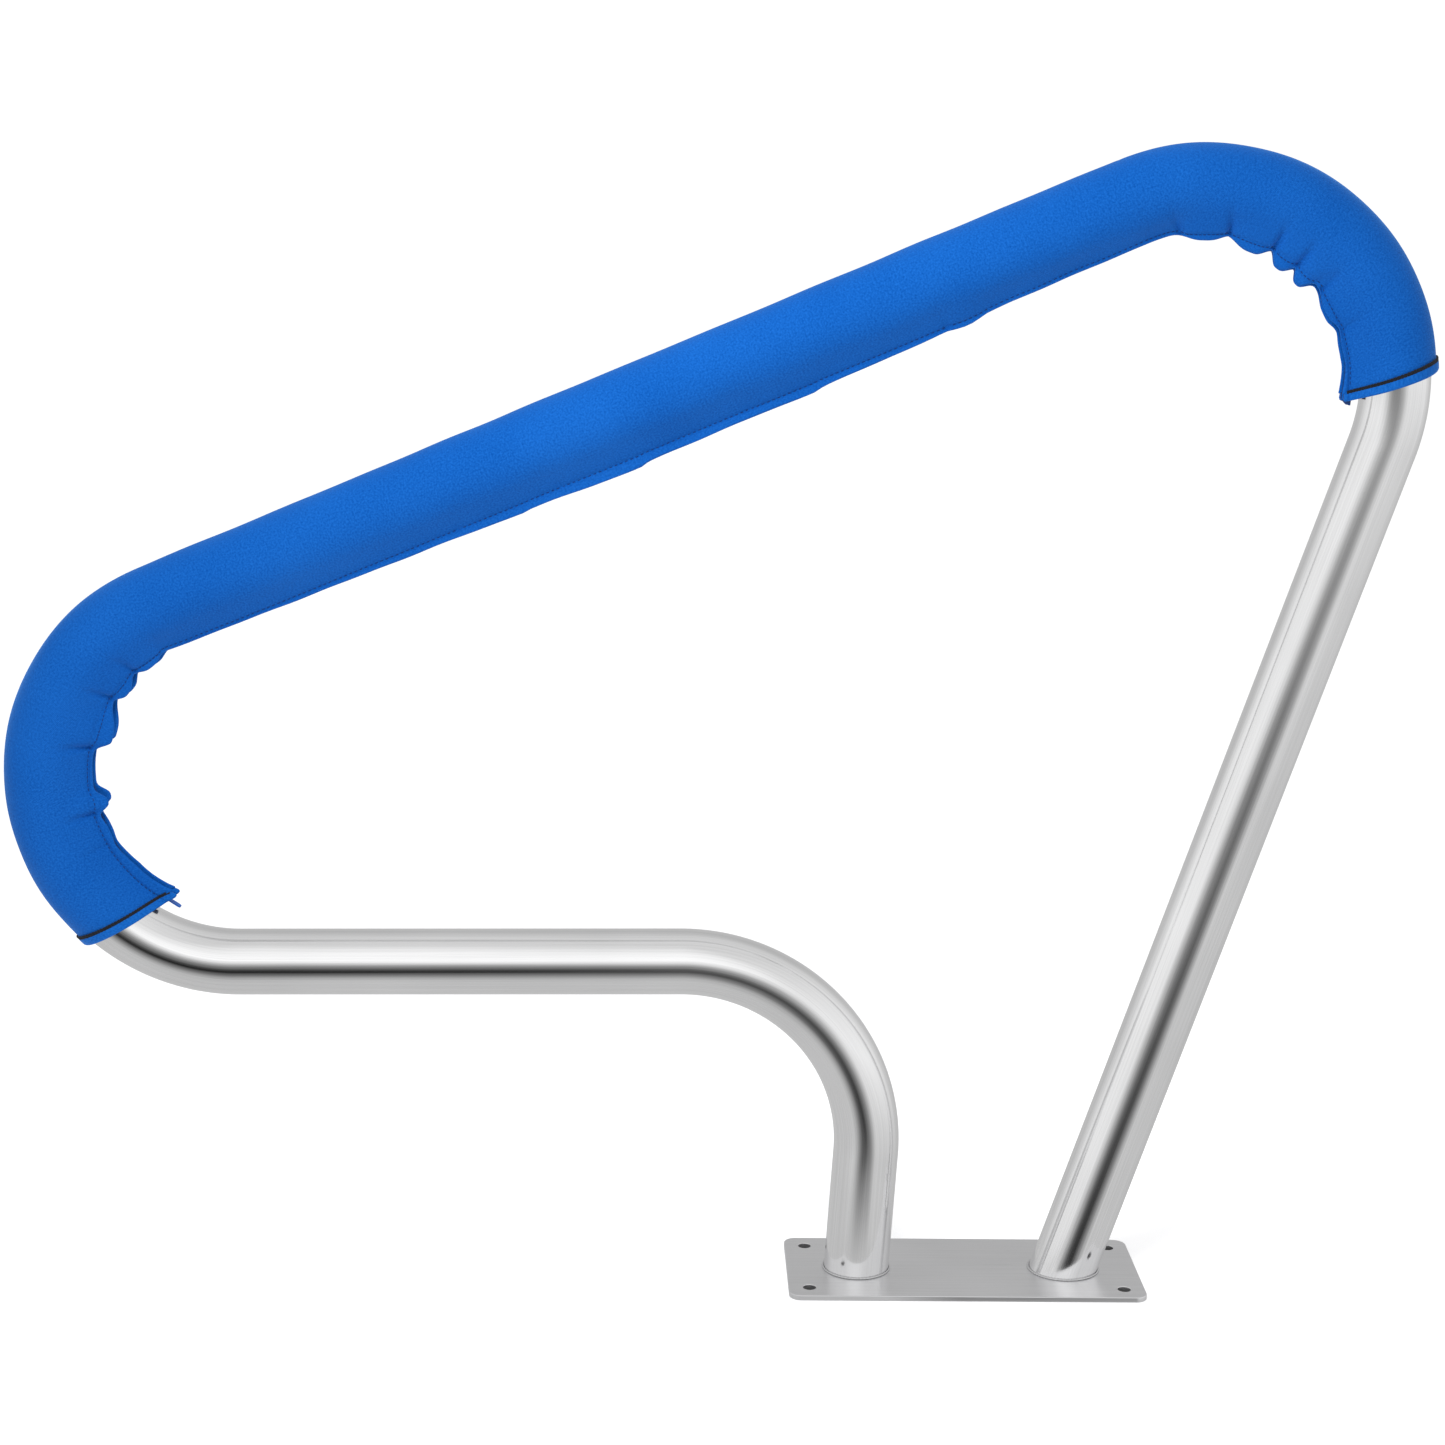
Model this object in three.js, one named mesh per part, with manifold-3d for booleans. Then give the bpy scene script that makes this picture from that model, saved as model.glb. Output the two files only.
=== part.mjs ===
// Pool handrail: one bent stainless tube welded to a deck plate, with a zipped neoprene sleeve on its rail.
// Millimetres, +Z up. The origin is the centre of the plate's underside. The tube's centreline lies in the
// plane y = 0: the rail rises towards +X, and the front of the object faces -Y.
import * as THREE from "three";
import { mergeVertices } from "three/addons/utils/BufferGeometryUtils.js";
import Module from "manifold-3d";

const wasm = await Module();
wasm.setup();

// ---- Tube ----
const TUBE_DIAMETER = 48.3; // 1.90 inch handrail tube
const TUBE_WALL = 1.65;
const BEND_RADIUS = 138.2; // of the centreline, the same on all three bends
const LEFT_FOOT_X = -79.2; // where each leg's centreline meets the plate's top
const RIGHT_FOOT_X = 76.4;
const LEFT_LEG_LENGTH = 91.2; // straight stretch from the plate to the first bend
const RUN_LENGTH = 323.7; // straight stretch between the first and the second bend
// Headings, in degrees from +X towards +Z, of the four straights in the order they are bent.
const LEFT_LEG_HEADING = 86.6;
const RUN_HEADING = 180.4;
const RAIL_HEADING = 22.75;
const RIGHT_LEG_HEADING = -108.2;

// ---- Deck plate ----
const PLATE_LENGTH = 263;
const PLATE_WIDTH = 108.5;
const PLATE_THICKNESS = 4;
const PLATE_CORNER_RADIUS = 9;
const PLATE_EDGE_BREAK = 0.4;
const BOLT_HOLE_DIAMETER = 9.5;
const BOLT_HOLE_INSET = 15.4; // from the plate's edges to a hole's centre
const WELD_SIZE = 1.8;
const WELD_HOLLOW = 0.45; // how near the bead's hollow face dips to the corner between tube and plate

// ---- Neoprene sleeve ----
const SLEEVE_THICKNESS = 3;
const SLEEVE_EASE = 0.8; // slack between the tube and the fabric
const SLEEVE_START_TURN = 37.6; // degrees round the second bend where the sleeve's lower end lies
const SLEEVE_END_TURN = 114.3; // degrees round the third bend where its upper end lies
// The cut ends lean, in degrees from square, so that the seam inside the loop is longer than the back.
const LOWER_LEAN = 24;
const UPPER_LEAN = 13;
const LEAN_FADE = 120; // distance from an end over which the lean of the sections dies away
const LIP_ROOT_RISE = 5.05; // from the sleeve's round outside to where the fabric turns into the lips
const LIP_LENGTH = 5.4; // of the two free lips, from there to their edges
const LIP_THICKNESS = 2.2;
const HEM_WIDTH = 9;
const HEM_STEP = 1.2; // how far the folded hem stands out of the sleeve
const HEM_GAP = 0.45; // between a hem and the sleeve that it finishes, along the centreline

// ---- Zipper ----
const CHAIN_RISE = 6.85; // from the tube's surface to the middle of the zipper's rows
const ROW_WIDTH = 1.4;
const ROW_THICKNESS = 1.8;
const ROW_CORNER = 0.45; // bevel on a row's outer edges
const ROW_GAP = 0.3;
const TAPE_THICKNESS = 0.5;
const TAPE_HOLD = 6.2; // width of tape sewn to the inside of a lip
const TAPE_TAIL = 5; // free tape past the upper hem
const SLIDER_LENGTH = 11;
const SLIDER_WIDTH = 6.4;
const SLIDER_PLATE = 0.9; // thickness of its two plates
const SLIDER_CORNER = 1; // radius of its shoulders
const SLIDER_SETBACK = 1; // from the lower end of the sleeve to the slider's mouth
const SLIDER_FLANGE = 1; // walls on each side of the channel
const POST_WIDTH = 1;
const POST_LENGTH = 4.6;
const STOP_LENGTH = 2;
const CROWN_LENGTH = 7;
const CROWN_HEIGHT = 3.2; // above the slider's plate
const CROWN_WIDTH = 1.6;
const CROWN_METAL = 0.8; // thickness of the crown's arch
const PULL_LENGTH = 18;
const PULL_WIDTH = 5.4;
const PULL_THICKNESS = 1.2;
const PULL_ARM = 1.1; // width of the arms beside the crown
const PULL_EYE_LENGTH = 4.4;
const BOX_LENGTH = 6;
const BOX_WIDTH = 6;
const BOX_THICKNESS = 3.8;
const PIN_LENGTH = 9;
const PIN_WIDTH = 1.2;
const END_SETBACK = 1; // from the upper end of the sleeve to the retainer box

// ---- Clearances and facets ----
const GAP = 0.3; // between pieces that touch or are fixed to each other
const SLIDE_GAP = 0.4; // round the rows and tapes inside the slider
const TUBE_SIDES = 28;
const BORE_SIDES = 24;
const SLEEVE_SIDES = 20;
const BEND_STEP = 7.5; // degrees of bend for each facet
const CLOSEST_MARKS = 1; // a swept piece skips the shared marks that lie nearer than this to its ends

const radians = THREE.MathUtils.degToRad;
const tubeRadius = TUBE_DIAMETER / 2;

const STEEL = { color: 0xc9cacc, roughness: 0.32, metalness: 1 };
const WELD_STEEL = { color: 0xb4b5b6, roughness: 0.45, metalness: 1 };
const NEOPRENE = { color: 0x0f62cf, roughness: 0.85, metalness: 0 };
const HEM_FABRIC = { color: 0x1a6bd6, roughness: 0.85, metalness: 0 };
const TAPE_FABRIC = { color: 0x123f86, roughness: 0.9, metalness: 0 };
const ZIP_PLASTIC = { color: 0x14294d, roughness: 0.5, metalness: 0 };
const PULL_PLASTIC = { color: 0x174c9e, roughness: 0.55, metalness: 0 };

const rail = new THREE.Group();

function addPiece(name, geometry, finish, place) {
  const piece = new THREE.Mesh(geometry, new THREE.MeshStandardMaterial(finish));
  piece.name = name;
  if (place) {
    piece.position.copy(place.position);
    piece.quaternion.copy(place.quaternion);
  }
  rail.add(piece);
  return piece;
}

// ---- Booleans ----
function toSolid(geometry) {
  const bare = geometry.clone();
  bare.deleteAttribute("normal");
  bare.deleteAttribute("uv");
  const merged = mergeVertices(bare, 1e-4);
  return new wasm.Manifold(
    new wasm.Mesh({
      numProp: 3,
      vertProperties: merged.attributes.position.array,
      triVerts: new Uint32Array(merged.index.array),
    }),
  );
}

function toGeometry(solid) {
  const mesh = solid.getMesh();
  const geometry = new THREE.BufferGeometry();
  geometry.setAttribute("position", new THREE.BufferAttribute(mesh.vertProperties, 3));
  geometry.setIndex(new THREE.BufferAttribute(mesh.triVerts, 1));
  const flatShaded = geometry.toNonIndexed();
  flatShaded.computeVertexNormals();
  return flatShaded;
}

function block(x, y, z, cx = 0, cy = 0, cz = 0) {
  return new THREE.BoxGeometry(x, y, z).translate(cx, cy, cz);
}

// ---- The tube's centreline ----
function direction(heading) {
  return new THREE.Vector2(Math.cos(heading), Math.sin(heading));
}

function straight(start, heading, length) {
  return { start, heading, length, turn: 0 };
}

// A bend turns the heading by turn radians: positive is anticlockwise as seen from the front.
function bend(start, heading, turn) {
  const side = Math.sign(turn);
  const toCentre = direction(heading + (side * Math.PI) / 2);
  const centre = start.clone().addScaledVector(toCentre, BEND_RADIUS);
  return { start, heading, length: BEND_RADIUS * Math.abs(turn), turn, side, centre };
}

// The place and heading at a distance along one straight or bend.
function walk(stretch, distance) {
  if (!stretch.turn) {
    const point = stretch.start.clone().addScaledVector(direction(stretch.heading), distance);
    return { point, heading: stretch.heading };
  }
  const heading = stretch.heading + (stretch.side * distance) / BEND_RADIUS;
  const fromCentre = direction(heading - (stretch.side * Math.PI) / 2);
  return { point: stretch.centre.clone().addScaledVector(fromCentre, BEND_RADIUS), heading };
}

// The rail and the right leg are as long as it takes for the right leg to meet the plate at its foot.
function layOutCentreline() {
  const headings = [LEFT_LEG_HEADING, RUN_HEADING, RAIL_HEADING, RIGHT_LEG_HEADING].map(radians);
  const [legUp, run, along, legDown] = headings;
  const leftFoot = new THREE.Vector2(LEFT_FOOT_X, PLATE_THICKNESS);
  const rightFoot = new THREE.Vector2(RIGHT_FOOT_X, PLATE_THICKNESS);
  const end = (stretch) => walk(stretch, stretch.length).point;

  const leftLeg = straight(leftFoot, legUp, LEFT_LEG_LENGTH);
  const firstBend = bend(end(leftLeg), legUp, run - legUp);
  const levelRun = straight(end(firstBend), run, RUN_LENGTH);
  const secondBend = bend(end(levelRun), run, along - run);
  const railStart = end(secondBend);

  const zeroRail = bend(railStart, along, legDown - along);
  const missing = rightFoot.clone().sub(end(zeroRail));
  const u = direction(along);
  const v = direction(legDown);
  const railLength = missing.cross(v) / u.cross(v);
  const rightLegLength = u.cross(missing) / u.cross(v);

  const railStraight = straight(railStart, along, railLength);
  const thirdBend = bend(end(railStraight), along, legDown - along);
  const rightLeg = straight(end(thirdBend), legDown, rightLegLength);
  return { leftLeg, firstBend, levelRun, secondBend, railStraight, thirdBend, rightLeg };
}

const stretches = layOutCentreline();
let centrelineLength = 0;
for (const stretch of Object.values(stretches)) {
  stretch.from = centrelineLength;
  centrelineLength += stretch.length;
}

// The place and heading at a distance from the left foot; past either end the last straight goes on.
function railAt(distance) {
  const all = Object.values(stretches);
  const stretch = all.find((s) => distance < s.from + s.length) ?? all.at(-1);
  return walk(stretch, distance - stretch.from);
}

const sleeveStart = stretches.secondBend.from + BEND_RADIUS * radians(SLEEVE_START_TURN);
const sleeveEnd = stretches.thirdBend.from + BEND_RADIUS * radians(SLEEVE_END_TURN);
const lowerHemEnd = sleeveStart + HEM_WIDTH;
const upperHemStart = sleeveEnd - HEM_WIDTH;

// Distances at which every swept section is set, so that the facets of tube and sleeve run parallel.
function sharedMarks() {
  const marks = [sleeveStart, lowerHemEnd, upperHemStart, sleeveEnd];
  for (const { from, length, turn } of Object.values(stretches)) {
    const steps = turn ? Math.ceil(Math.abs(turn) / radians(BEND_STEP)) : 1;
    for (let step = 0; step <= steps; step++) marks.push(from + (length * step) / steps);
  }
  marks.sort((a, b) => a - b);
  return marks.filter((mark, i) => i === 0 || mark - marks[i - 1] > 1e-6);
}

const marksAlongRail = sharedMarks();

function marksBetween(from, to) {
  const clear = (mark) => mark - from > CLOSEST_MARKS && to - mark > CLOSEST_MARKS;
  return [from, ...marksAlongRail.filter(clear), to];
}

// How far along the rail a leaning plane through the centreline has come at a depth, in a bend round the
// inside of the loop. The plane meets the circle of radius BEND_RADIUS - depth at a distance reach.
function leanShift(depth, lean) {
  const radius = BEND_RADIUS - depth;
  const reach = BEND_RADIUS * Math.cos(lean) - Math.sqrt(radius ** 2 - (BEND_RADIUS * Math.sin(lean)) ** 2);
  return BEND_RADIUS * Math.asin((reach * Math.sin(lean)) / radius);
}

// Sweeps a section along the rail: a straight extrusion with one step for each mark is bent onto it. In a
// section, x is towards the front (-Y) and y is to the right of the way the tube runs, which is towards the
// inside of the loop from the second bend on.
function sweep(section, from, to, lean = () => 0) {
  const marks = marksBetween(from, to);
  const steps = marks.length - 1;
  const swept = new THREE.ExtrudeGeometry(section, { depth: steps, steps, bevelEnabled: false });
  const vertices = swept.attributes.position;
  for (let i = 0; i < vertices.count; i++) {
    const mark = marks[Math.round(vertices.getZ(i))];
    const depth = vertices.getY(i);
    const { point, heading } = railAt(mark + leanShift(depth, lean(mark)));
    const x = point.x + depth * Math.sin(heading);
    const z = point.y - depth * Math.cos(heading);
    vertices.setXYZ(i, x, -vertices.getX(i), z);
  }
  swept.computeVertexNormals();
  return swept;
}

// The frame at a distance along the rail: x and y as in a section, z along the rail.
function placeOnRail(distance, depth) {
  const { point, heading } = railAt(distance);
  const alongRail = new THREE.Vector3(Math.cos(heading), 0, Math.sin(heading));
  const inward = new THREE.Vector3(Math.sin(heading), 0, -Math.cos(heading));
  const front = new THREE.Vector3(0, -1, 0);
  const position = new THREE.Vector3(point.x, 0, point.y).addScaledVector(inward, depth);
  const turned = new THREE.Matrix4().makeBasis(front, inward, alongRail);
  return { position, quaternion: new THREE.Quaternion().setFromRotationMatrix(turned) };
}

function circlePoints(radius, sides) {
  const point = (i) => direction((2 * Math.PI * i) / sides).multiplyScalar(radius);
  return Array.from({ length: sides }, (_, i) => point(i));
}

// ---- Tube, plate and welds ----
// The tube's ends are sawn off flat, a gap above the plate.
function makeTube() {
  const section = new THREE.Shape(circlePoints(tubeRadius, TUBE_SIDES));
  section.holes.push(new THREE.Path(circlePoints(tubeRadius - TUBE_WALL, BORE_SIDES).reverse()));
  const spare = TUBE_DIAMETER;
  const longTube = sweep(section, -spare, centrelineLength + spare);
  const below = block(4 * PLATE_LENGTH, 4 * PLATE_WIDTH, 4 * spare);
  below.translate(0, 0, PLATE_THICKNESS + GAP - 2 * spare);
  return toGeometry(toSolid(longTube).subtract(toSolid(below)));
}

function makePlate() {
  const x = PLATE_LENGTH / 2;
  const y = PLATE_WIDTH / 2;
  const r = PLATE_CORNER_RADIUS;
  const outline = new THREE.Shape();
  outline.moveTo(r - x, -y);
  outline.absarc(x - r, r - y, r, -Math.PI / 2, 0);
  outline.absarc(x - r, y - r, r, 0, Math.PI / 2);
  outline.absarc(r - x, y - r, r, Math.PI / 2, Math.PI);
  outline.absarc(r - x, r - y, r, Math.PI, 1.5 * Math.PI);
  for (const holeX of [BOLT_HOLE_INSET - x, x - BOLT_HOLE_INSET]) {
    for (const holeY of [BOLT_HOLE_INSET - y, y - BOLT_HOLE_INSET]) {
      const hole = new THREE.Path();
      hole.absarc(holeX, holeY, BOLT_HOLE_DIAMETER / 2, 0, 2 * Math.PI, true);
      outline.holes.push(hole);
    }
  }
  const plate = new THREE.ExtrudeGeometry(outline, {
    depth: PLATE_THICKNESS - 2 * PLATE_EDGE_BREAK,
    bevelThickness: PLATE_EDGE_BREAK,
    bevelSize: PLATE_EDGE_BREAK,
    bevelOffset: -PLATE_EDGE_BREAK,
    bevelSegments: 1,
    curveSegments: 8,
  });
  return plate.translate(0, 0, PLATE_EDGE_BREAK);
}

// A hollow-faced fillet round a foot. It is turned round an upright axis, then sheared to the leg's lean,
// which makes its footprint the ellipse in which the leaning tube meets the plate.
function makeWeld(footX, heading) {
  const inner = tubeRadius + GAP;
  const profile = new THREE.Path();
  profile.moveTo(inner, 0);
  profile.lineTo(inner + WELD_SIZE, 0);
  profile.quadraticCurveTo(inner + WELD_HOLLOW, WELD_HOLLOW, inner, WELD_SIZE);
  profile.lineTo(inner, 0);
  const bead = new THREE.LatheGeometry(profile.getPoints(3), TUBE_SIDES).rotateX(Math.PI / 2);
  const lean = Math.PI / 2 - heading;
  const leanAcross = new THREE.Matrix4().makeShear(0, 0, 0, 0, Math.tan(lean), 0);
  bead.scale(1 / Math.cos(lean), 1, 1).applyMatrix4(leanAcross);
  const foot = PLATE_THICKNESS + GAP;
  return bead.translate(footX + GAP * Math.tan(lean), 0, foot);
}

addPiece("rail_tube", makeTube(), STEEL);
addPiece("base_plate", makePlate(), STEEL);
addPiece("weld_left_leg", makeWeld(LEFT_FOOT_X, radians(LEFT_LEG_HEADING)), WELD_STEEL);
addPiece("weld_right_leg", makeWeld(RIGHT_FOOT_X, radians(RIGHT_LEG_HEADING) + Math.PI), WELD_STEEL);

// ---- Sleeve ----
const sleeveInside = tubeRadius + SLEEVE_EASE;
const sleeveOutside = sleeveInside + SLEEVE_THICKNESS;
const tapeFace = SLIDER_WIDTH / 2 + GAP; // from the seam's middle to the tape on a lip
const lipInside = tapeFace + TAPE_THICKNESS + GAP;
const lipOutside = lipInside + LIP_THICKNESS;
const lipRootDepth = sleeveOutside + LIP_ROOT_RISE; // depths are from the tube's centreline
const lipDepth = lipRootDepth + LIP_LENGTH;
// The fabric leaves the tube along a tangent that ends at the root of the lips.
const rootReach = Math.hypot(lipOutside, lipRootDepth);
const tangentAngle = Math.atan2(lipOutside, lipRootDepth) + Math.acos(sleeveOutside / rootReach);

// The depth at which a line along that tangent, a distance from the centreline, comes to a lip's face.
function rootDepth(reach, lipFace) {
  return (reach - lipFace * Math.sin(tangentAngle)) / Math.cos(tangentAngle);
}

// One side of the fabric, from the back lip round the tube to the front lip.
function fabricSide(radius, lipFace, lipEnd) {
  const points = [new THREE.Vector2(-lipFace, lipEnd)];
  points.push(new THREE.Vector2(-lipFace, rootDepth(radius, lipFace)));
  const sweepAngle = 2 * (Math.PI - tangentAngle);
  for (let i = 0; i <= SLEEVE_SIDES; i++) {
    const angle = Math.PI / 2 + tangentAngle + (sweepAngle * i) / SLEEVE_SIDES;
    points.push(direction(angle).multiplyScalar(radius));
  }
  points.push(new THREE.Vector2(lipFace, rootDepth(radius, lipFace)));
  points.push(new THREE.Vector2(lipFace, lipEnd));
  return points;
}

function sleeveSection(step) {
  const outside = fabricSide(sleeveOutside + step, lipOutside + step, lipDepth + step);
  const inside = fabricSide(sleeveInside, lipInside, lipDepth + step);
  return new THREE.Shape([...outside, ...inside.reverse()]);
}

// The lean of the fabric's cross sections at a distance along the rail.
function sleeveLean(distance) {
  const nearLower = Math.max(0, 1 - (distance - sleeveStart) / LEAN_FADE);
  const nearUpper = Math.max(0, 1 - (sleeveEnd - distance) / LEAN_FADE);
  return radians(UPPER_LEAN * nearUpper - LOWER_LEAN * nearLower);
}

function addFabric(name, step, from, to, finish) {
  addPiece(name, sweep(sleeveSection(step), from, to, sleeveLean), finish);
}

addFabric("cover_sleeve", 0, lowerHemEnd + HEM_GAP, upperHemStart - HEM_GAP, NEOPRENE);
addFabric("cover_hem_lower", HEM_STEP, sleeveStart, lowerHemEnd, HEM_FABRIC);
addFabric("cover_hem_upper", HEM_STEP, upperHemStart, sleeveEnd, HEM_FABRIC);

// ---- Zipper: tapes, rows, stops, retainer box and pin ----
const chainDepth = tubeRadius + CHAIN_RISE;
const rowInside = ROW_GAP / 2;
const rowOutside = rowInside + ROW_WIDTH;
// Both ends of the zipper lie inside a bend, where a length of chain takes up more of the centreline.
const chainPace = BEND_RADIUS / (BEND_RADIUS - chainDepth);
// The sleeve's leaning ends cross the chain at these distances.
const chainStart = sleeveStart + leanShift(chainDepth, sleeveLean(sleeveStart));
const chainEnd = sleeveEnd + leanShift(chainDepth, sleeveLean(sleeveEnd));
const fromLowerEnd = (length) => chainStart + chainPace * length;
const fromUpperEnd = (length) => chainEnd - chainPace * length;
const rowsFrom = fromLowerEnd(SLIDER_SETBACK + POST_LENGTH + GAP);
const rowsTo = fromUpperEnd(END_SETBACK + PIN_LENGTH + GAP);

// Closed outline through points given for the front (side 1) and mirrored for the back (side -1).
function sidedShape(side, corners) {
  return new THREE.Shape(corners.map(([x, y]) => new THREE.Vector2(side * x, y)));
}

function rowSection(side) {
  const low = chainDepth - ROW_THICKNESS / 2;
  const high = chainDepth + ROW_THICKNESS / 2;
  return sidedShape(side, [
    [rowInside, low],
    [rowOutside - ROW_CORNER, low],
    [rowOutside, chainDepth],
    [rowOutside - ROW_CORNER, high],
    [rowInside, high],
  ]);
}

// The tape runs out from its row and turns along the inside of the lip that it is sewn to.
function tapeSection(side) {
  const edge = rowOutside + GAP;
  const low = chainDepth - TAPE_THICKNESS / 2;
  const high = chainDepth + TAPE_THICKNESS / 2;
  return sidedShape(side, [
    [edge, low],
    [tapeFace + TAPE_THICKNESS, low],
    [tapeFace + TAPE_THICKNESS, low + TAPE_HOLD],
    [tapeFace, low + TAPE_HOLD],
    [tapeFace, high],
    [edge, high],
  ]);
}

for (const [end, side] of [["front", 1], ["back", -1]]) {
  addPiece("zipper_tape_" + end, sweep(tapeSection(side), chainStart, chainEnd + TAPE_TAIL), TAPE_FABRIC);
  addPiece("zipper_row_" + end, sweep(rowSection(side), rowsFrom, rowsTo), ZIP_PLASTIC);

  const stopInside = POST_WIDTH / 2 + GAP;
  const stopX = (side * (stopInside + rowOutside)) / 2;
  const stop = block(rowOutside - stopInside, ROW_THICKNESS, STOP_LENGTH, stopX);
  const stopAt = placeOnRail(fromLowerEnd(SLIDER_SETBACK + POST_LENGTH / 2), chainDepth);
  addPiece("zipper_top_stop_" + end, stop, ZIP_PLASTIC, stopAt);
}

// The pin hangs on the back tape and goes right through the box on the front tape.
const pinX = -(rowInside + ROW_WIDTH / 2);
const pin = block(PIN_WIDTH, PIN_WIDTH, PIN_LENGTH, pinX);
const pinPlace = placeOnRail(fromUpperEnd(END_SETBACK + PIN_LENGTH / 2), chainDepth);
addPiece("zipper_insertion_pin", pin, ZIP_PLASTIC, pinPlace);

function makeRetainerBox() {
  const socketSide = PIN_WIDTH + 2 * GAP;
  const body = toSolid(block(BOX_WIDTH, BOX_THICKNESS, BOX_LENGTH));
  const socket = toSolid(block(socketSide, socketSide, 2 * BOX_LENGTH, pinX));
  const tapeSlot = toSolid(block(2 * BOX_WIDTH, TAPE_THICKNESS + 2 * SLIDE_GAP, 2 * BOX_LENGTH));
  const keep = toSolid(block(2 * (rowOutside + GAP / 2), BOX_THICKNESS, 3 * BOX_LENGTH));
  return toGeometry(body.subtract(tapeSlot.subtract(keep)).subtract(socket));
}

const boxPlace = placeOnRail(fromUpperEnd(END_SETBACK + BOX_LENGTH / 2), chainDepth);
addPiece("zipper_retainer_box", makeRetainerBox(), ZIP_PLASTIC, boxPlace);

// ---- Slider and pull ----
// Local frame: x towards the front, y towards the crown, z along the rail away from the mouth.
const channelHeight = ROW_THICKNESS + 2 * SLIDE_GAP;
const sliderThickness = channelHeight + 2 * SLIDER_PLATE;
const sliderPlace = placeOnRail(fromLowerEnd(SLIDER_SETBACK + SLIDER_LENGTH / 2), chainDepth);
const crownFoot = sliderThickness / 2;
const crownRoot = crownFoot - SLIDER_PLATE / 2; // sunk half way into the plate that carries it
const pivotHeight = crownFoot + (CROWN_HEIGHT - CROWN_METAL) / 2;

// Turns an outline drawn in x and z into a solid whose depth runs along y, centred on y = 0.
function slab(outline, thickness) {
  const options = { depth: thickness, bevelEnabled: false, curveSegments: 6 };
  const solid = new THREE.ExtrudeGeometry(outline, options);
  return solid.translate(0, 0, -thickness / 2).rotateX(Math.PI / 2);
}

// The shield outline: a broad mouth with rounded shoulders, narrowing towards the closed chain.
function sliderOutline() {
  const w = SLIDER_WIDTH / 2;
  const h = SLIDER_LENGTH / 2;
  const tail = rowOutside + SLIDE_GAP + SLIDER_FLANGE;
  const outline = new THREE.Shape();
  outline.moveTo(-tail, h);
  outline.lineTo(-w, 0);
  outline.lineTo(-w, SLIDER_CORNER - h);
  outline.quadraticCurveTo(-w, -h, SLIDER_CORNER - w, -h);
  outline.lineTo(w - SLIDER_CORNER, -h);
  outline.quadraticCurveTo(w, -h, w, SLIDER_CORNER - h);
  outline.lineTo(w, 0);
  outline.lineTo(tail, h);
  return outline;
}

// A Y-shaped channel: one bore for the closed chain, and two mouths on either side of the wedge-shaped post.
function makeSliderBody() {
  const h = SLIDER_LENGTH / 2;
  const channelHalf = rowOutside + SLIDE_GAP;
  const post = new THREE.Shape();
  post.moveTo(-POST_WIDTH / 2, -h);
  post.lineTo(POST_WIDTH / 2, -h);
  post.lineTo(POST_WIDTH / 2, POST_LENGTH - POST_WIDTH - h);
  post.lineTo(0, POST_LENGTH - h);
  post.lineTo(-POST_WIDTH / 2, POST_LENGTH - POST_WIDTH - h);
  const body = toSolid(slab(sliderOutline(), sliderThickness));
  const channel = toSolid(block(2 * channelHalf, channelHeight, 2 * SLIDER_LENGTH));
  const tapeSlots = toSolid(block(2 * SLIDER_WIDTH, TAPE_THICKNESS + 2 * SLIDE_GAP, 2 * SLIDER_LENGTH));
  const wedge = toSolid(slab(post, channelHeight + SLIDER_PLATE));
  const crown = toSolid(makeCrown());
  return toGeometry(body.subtract(channel).subtract(tapeSlots).add(wedge).add(crown));
}

// The crown is an arch that stands on the slider; the pull's bar turns in its window.
function makeCrown() {
  const half = CROWN_LENGTH / 2;
  const shoulder = half - CROWN_METAL;
  const top = crownFoot + CROWN_HEIGHT;
  const arch = new THREE.Shape();
  arch.moveTo(-half, crownRoot);
  arch.lineTo(half, crownRoot);
  arch.lineTo(shoulder, top - CROWN_METAL);
  arch.quadraticCurveTo(shoulder, top, shoulder - CROWN_METAL, top);
  arch.lineTo(CROWN_METAL - shoulder, top);
  arch.quadraticCurveTo(-shoulder, top, -shoulder, top - CROWN_METAL);
  const windowHalf = shoulder - CROWN_METAL;
  const window = new THREE.Path();
  window.moveTo(-windowHalf, crownFoot);
  window.lineTo(-windowHalf, top - CROWN_METAL);
  window.lineTo(windowHalf, top - CROWN_METAL);
  window.lineTo(windowHalf, crownFoot);
  arch.holes.push(window);
  const options = { depth: CROWN_WIDTH, bevelEnabled: false, curveSegments: 4 };
  const solid = new THREE.ExtrudeGeometry(arch, options);
  return solid.translate(0, 0, -CROWN_WIDTH / 2).rotateY(-Math.PI / 2);
}

// The pull lies flat with its bar on the pivot, its two arms beside the crown, and a rounded grip.
function makePull() {
  const half = PULL_WIDTH / 2;
  const eyeHalf = CROWN_WIDTH / 2 + GAP;
  const bar = PULL_THICKNESS / 2;
  const neck = eyeHalf + PULL_ARM;
  const shoulder = PULL_EYE_LENGTH + PULL_ARM;
  const outline = new THREE.Shape();
  outline.moveTo(-neck, bar);
  outline.lineTo(-neck, -shoulder);
  outline.quadraticCurveTo(-half, -shoulder - half, -half, half - PULL_LENGTH);
  outline.quadraticCurveTo(-half, -PULL_LENGTH, 0, -PULL_LENGTH);
  outline.quadraticCurveTo(half, -PULL_LENGTH, half, half - PULL_LENGTH);
  outline.quadraticCurveTo(half, -shoulder - half, neck, -shoulder);
  outline.lineTo(neck, bar);
  const eye = new THREE.Path();
  eye.moveTo(-eyeHalf, -bar);
  eye.lineTo(eyeHalf, -bar);
  eye.lineTo(eyeHalf, -PULL_EYE_LENGTH);
  eye.lineTo(-eyeHalf, -PULL_EYE_LENGTH);
  outline.holes.push(eye);
  return slab(outline, PULL_THICKNESS).translate(0, pivotHeight, 0);
}

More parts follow.
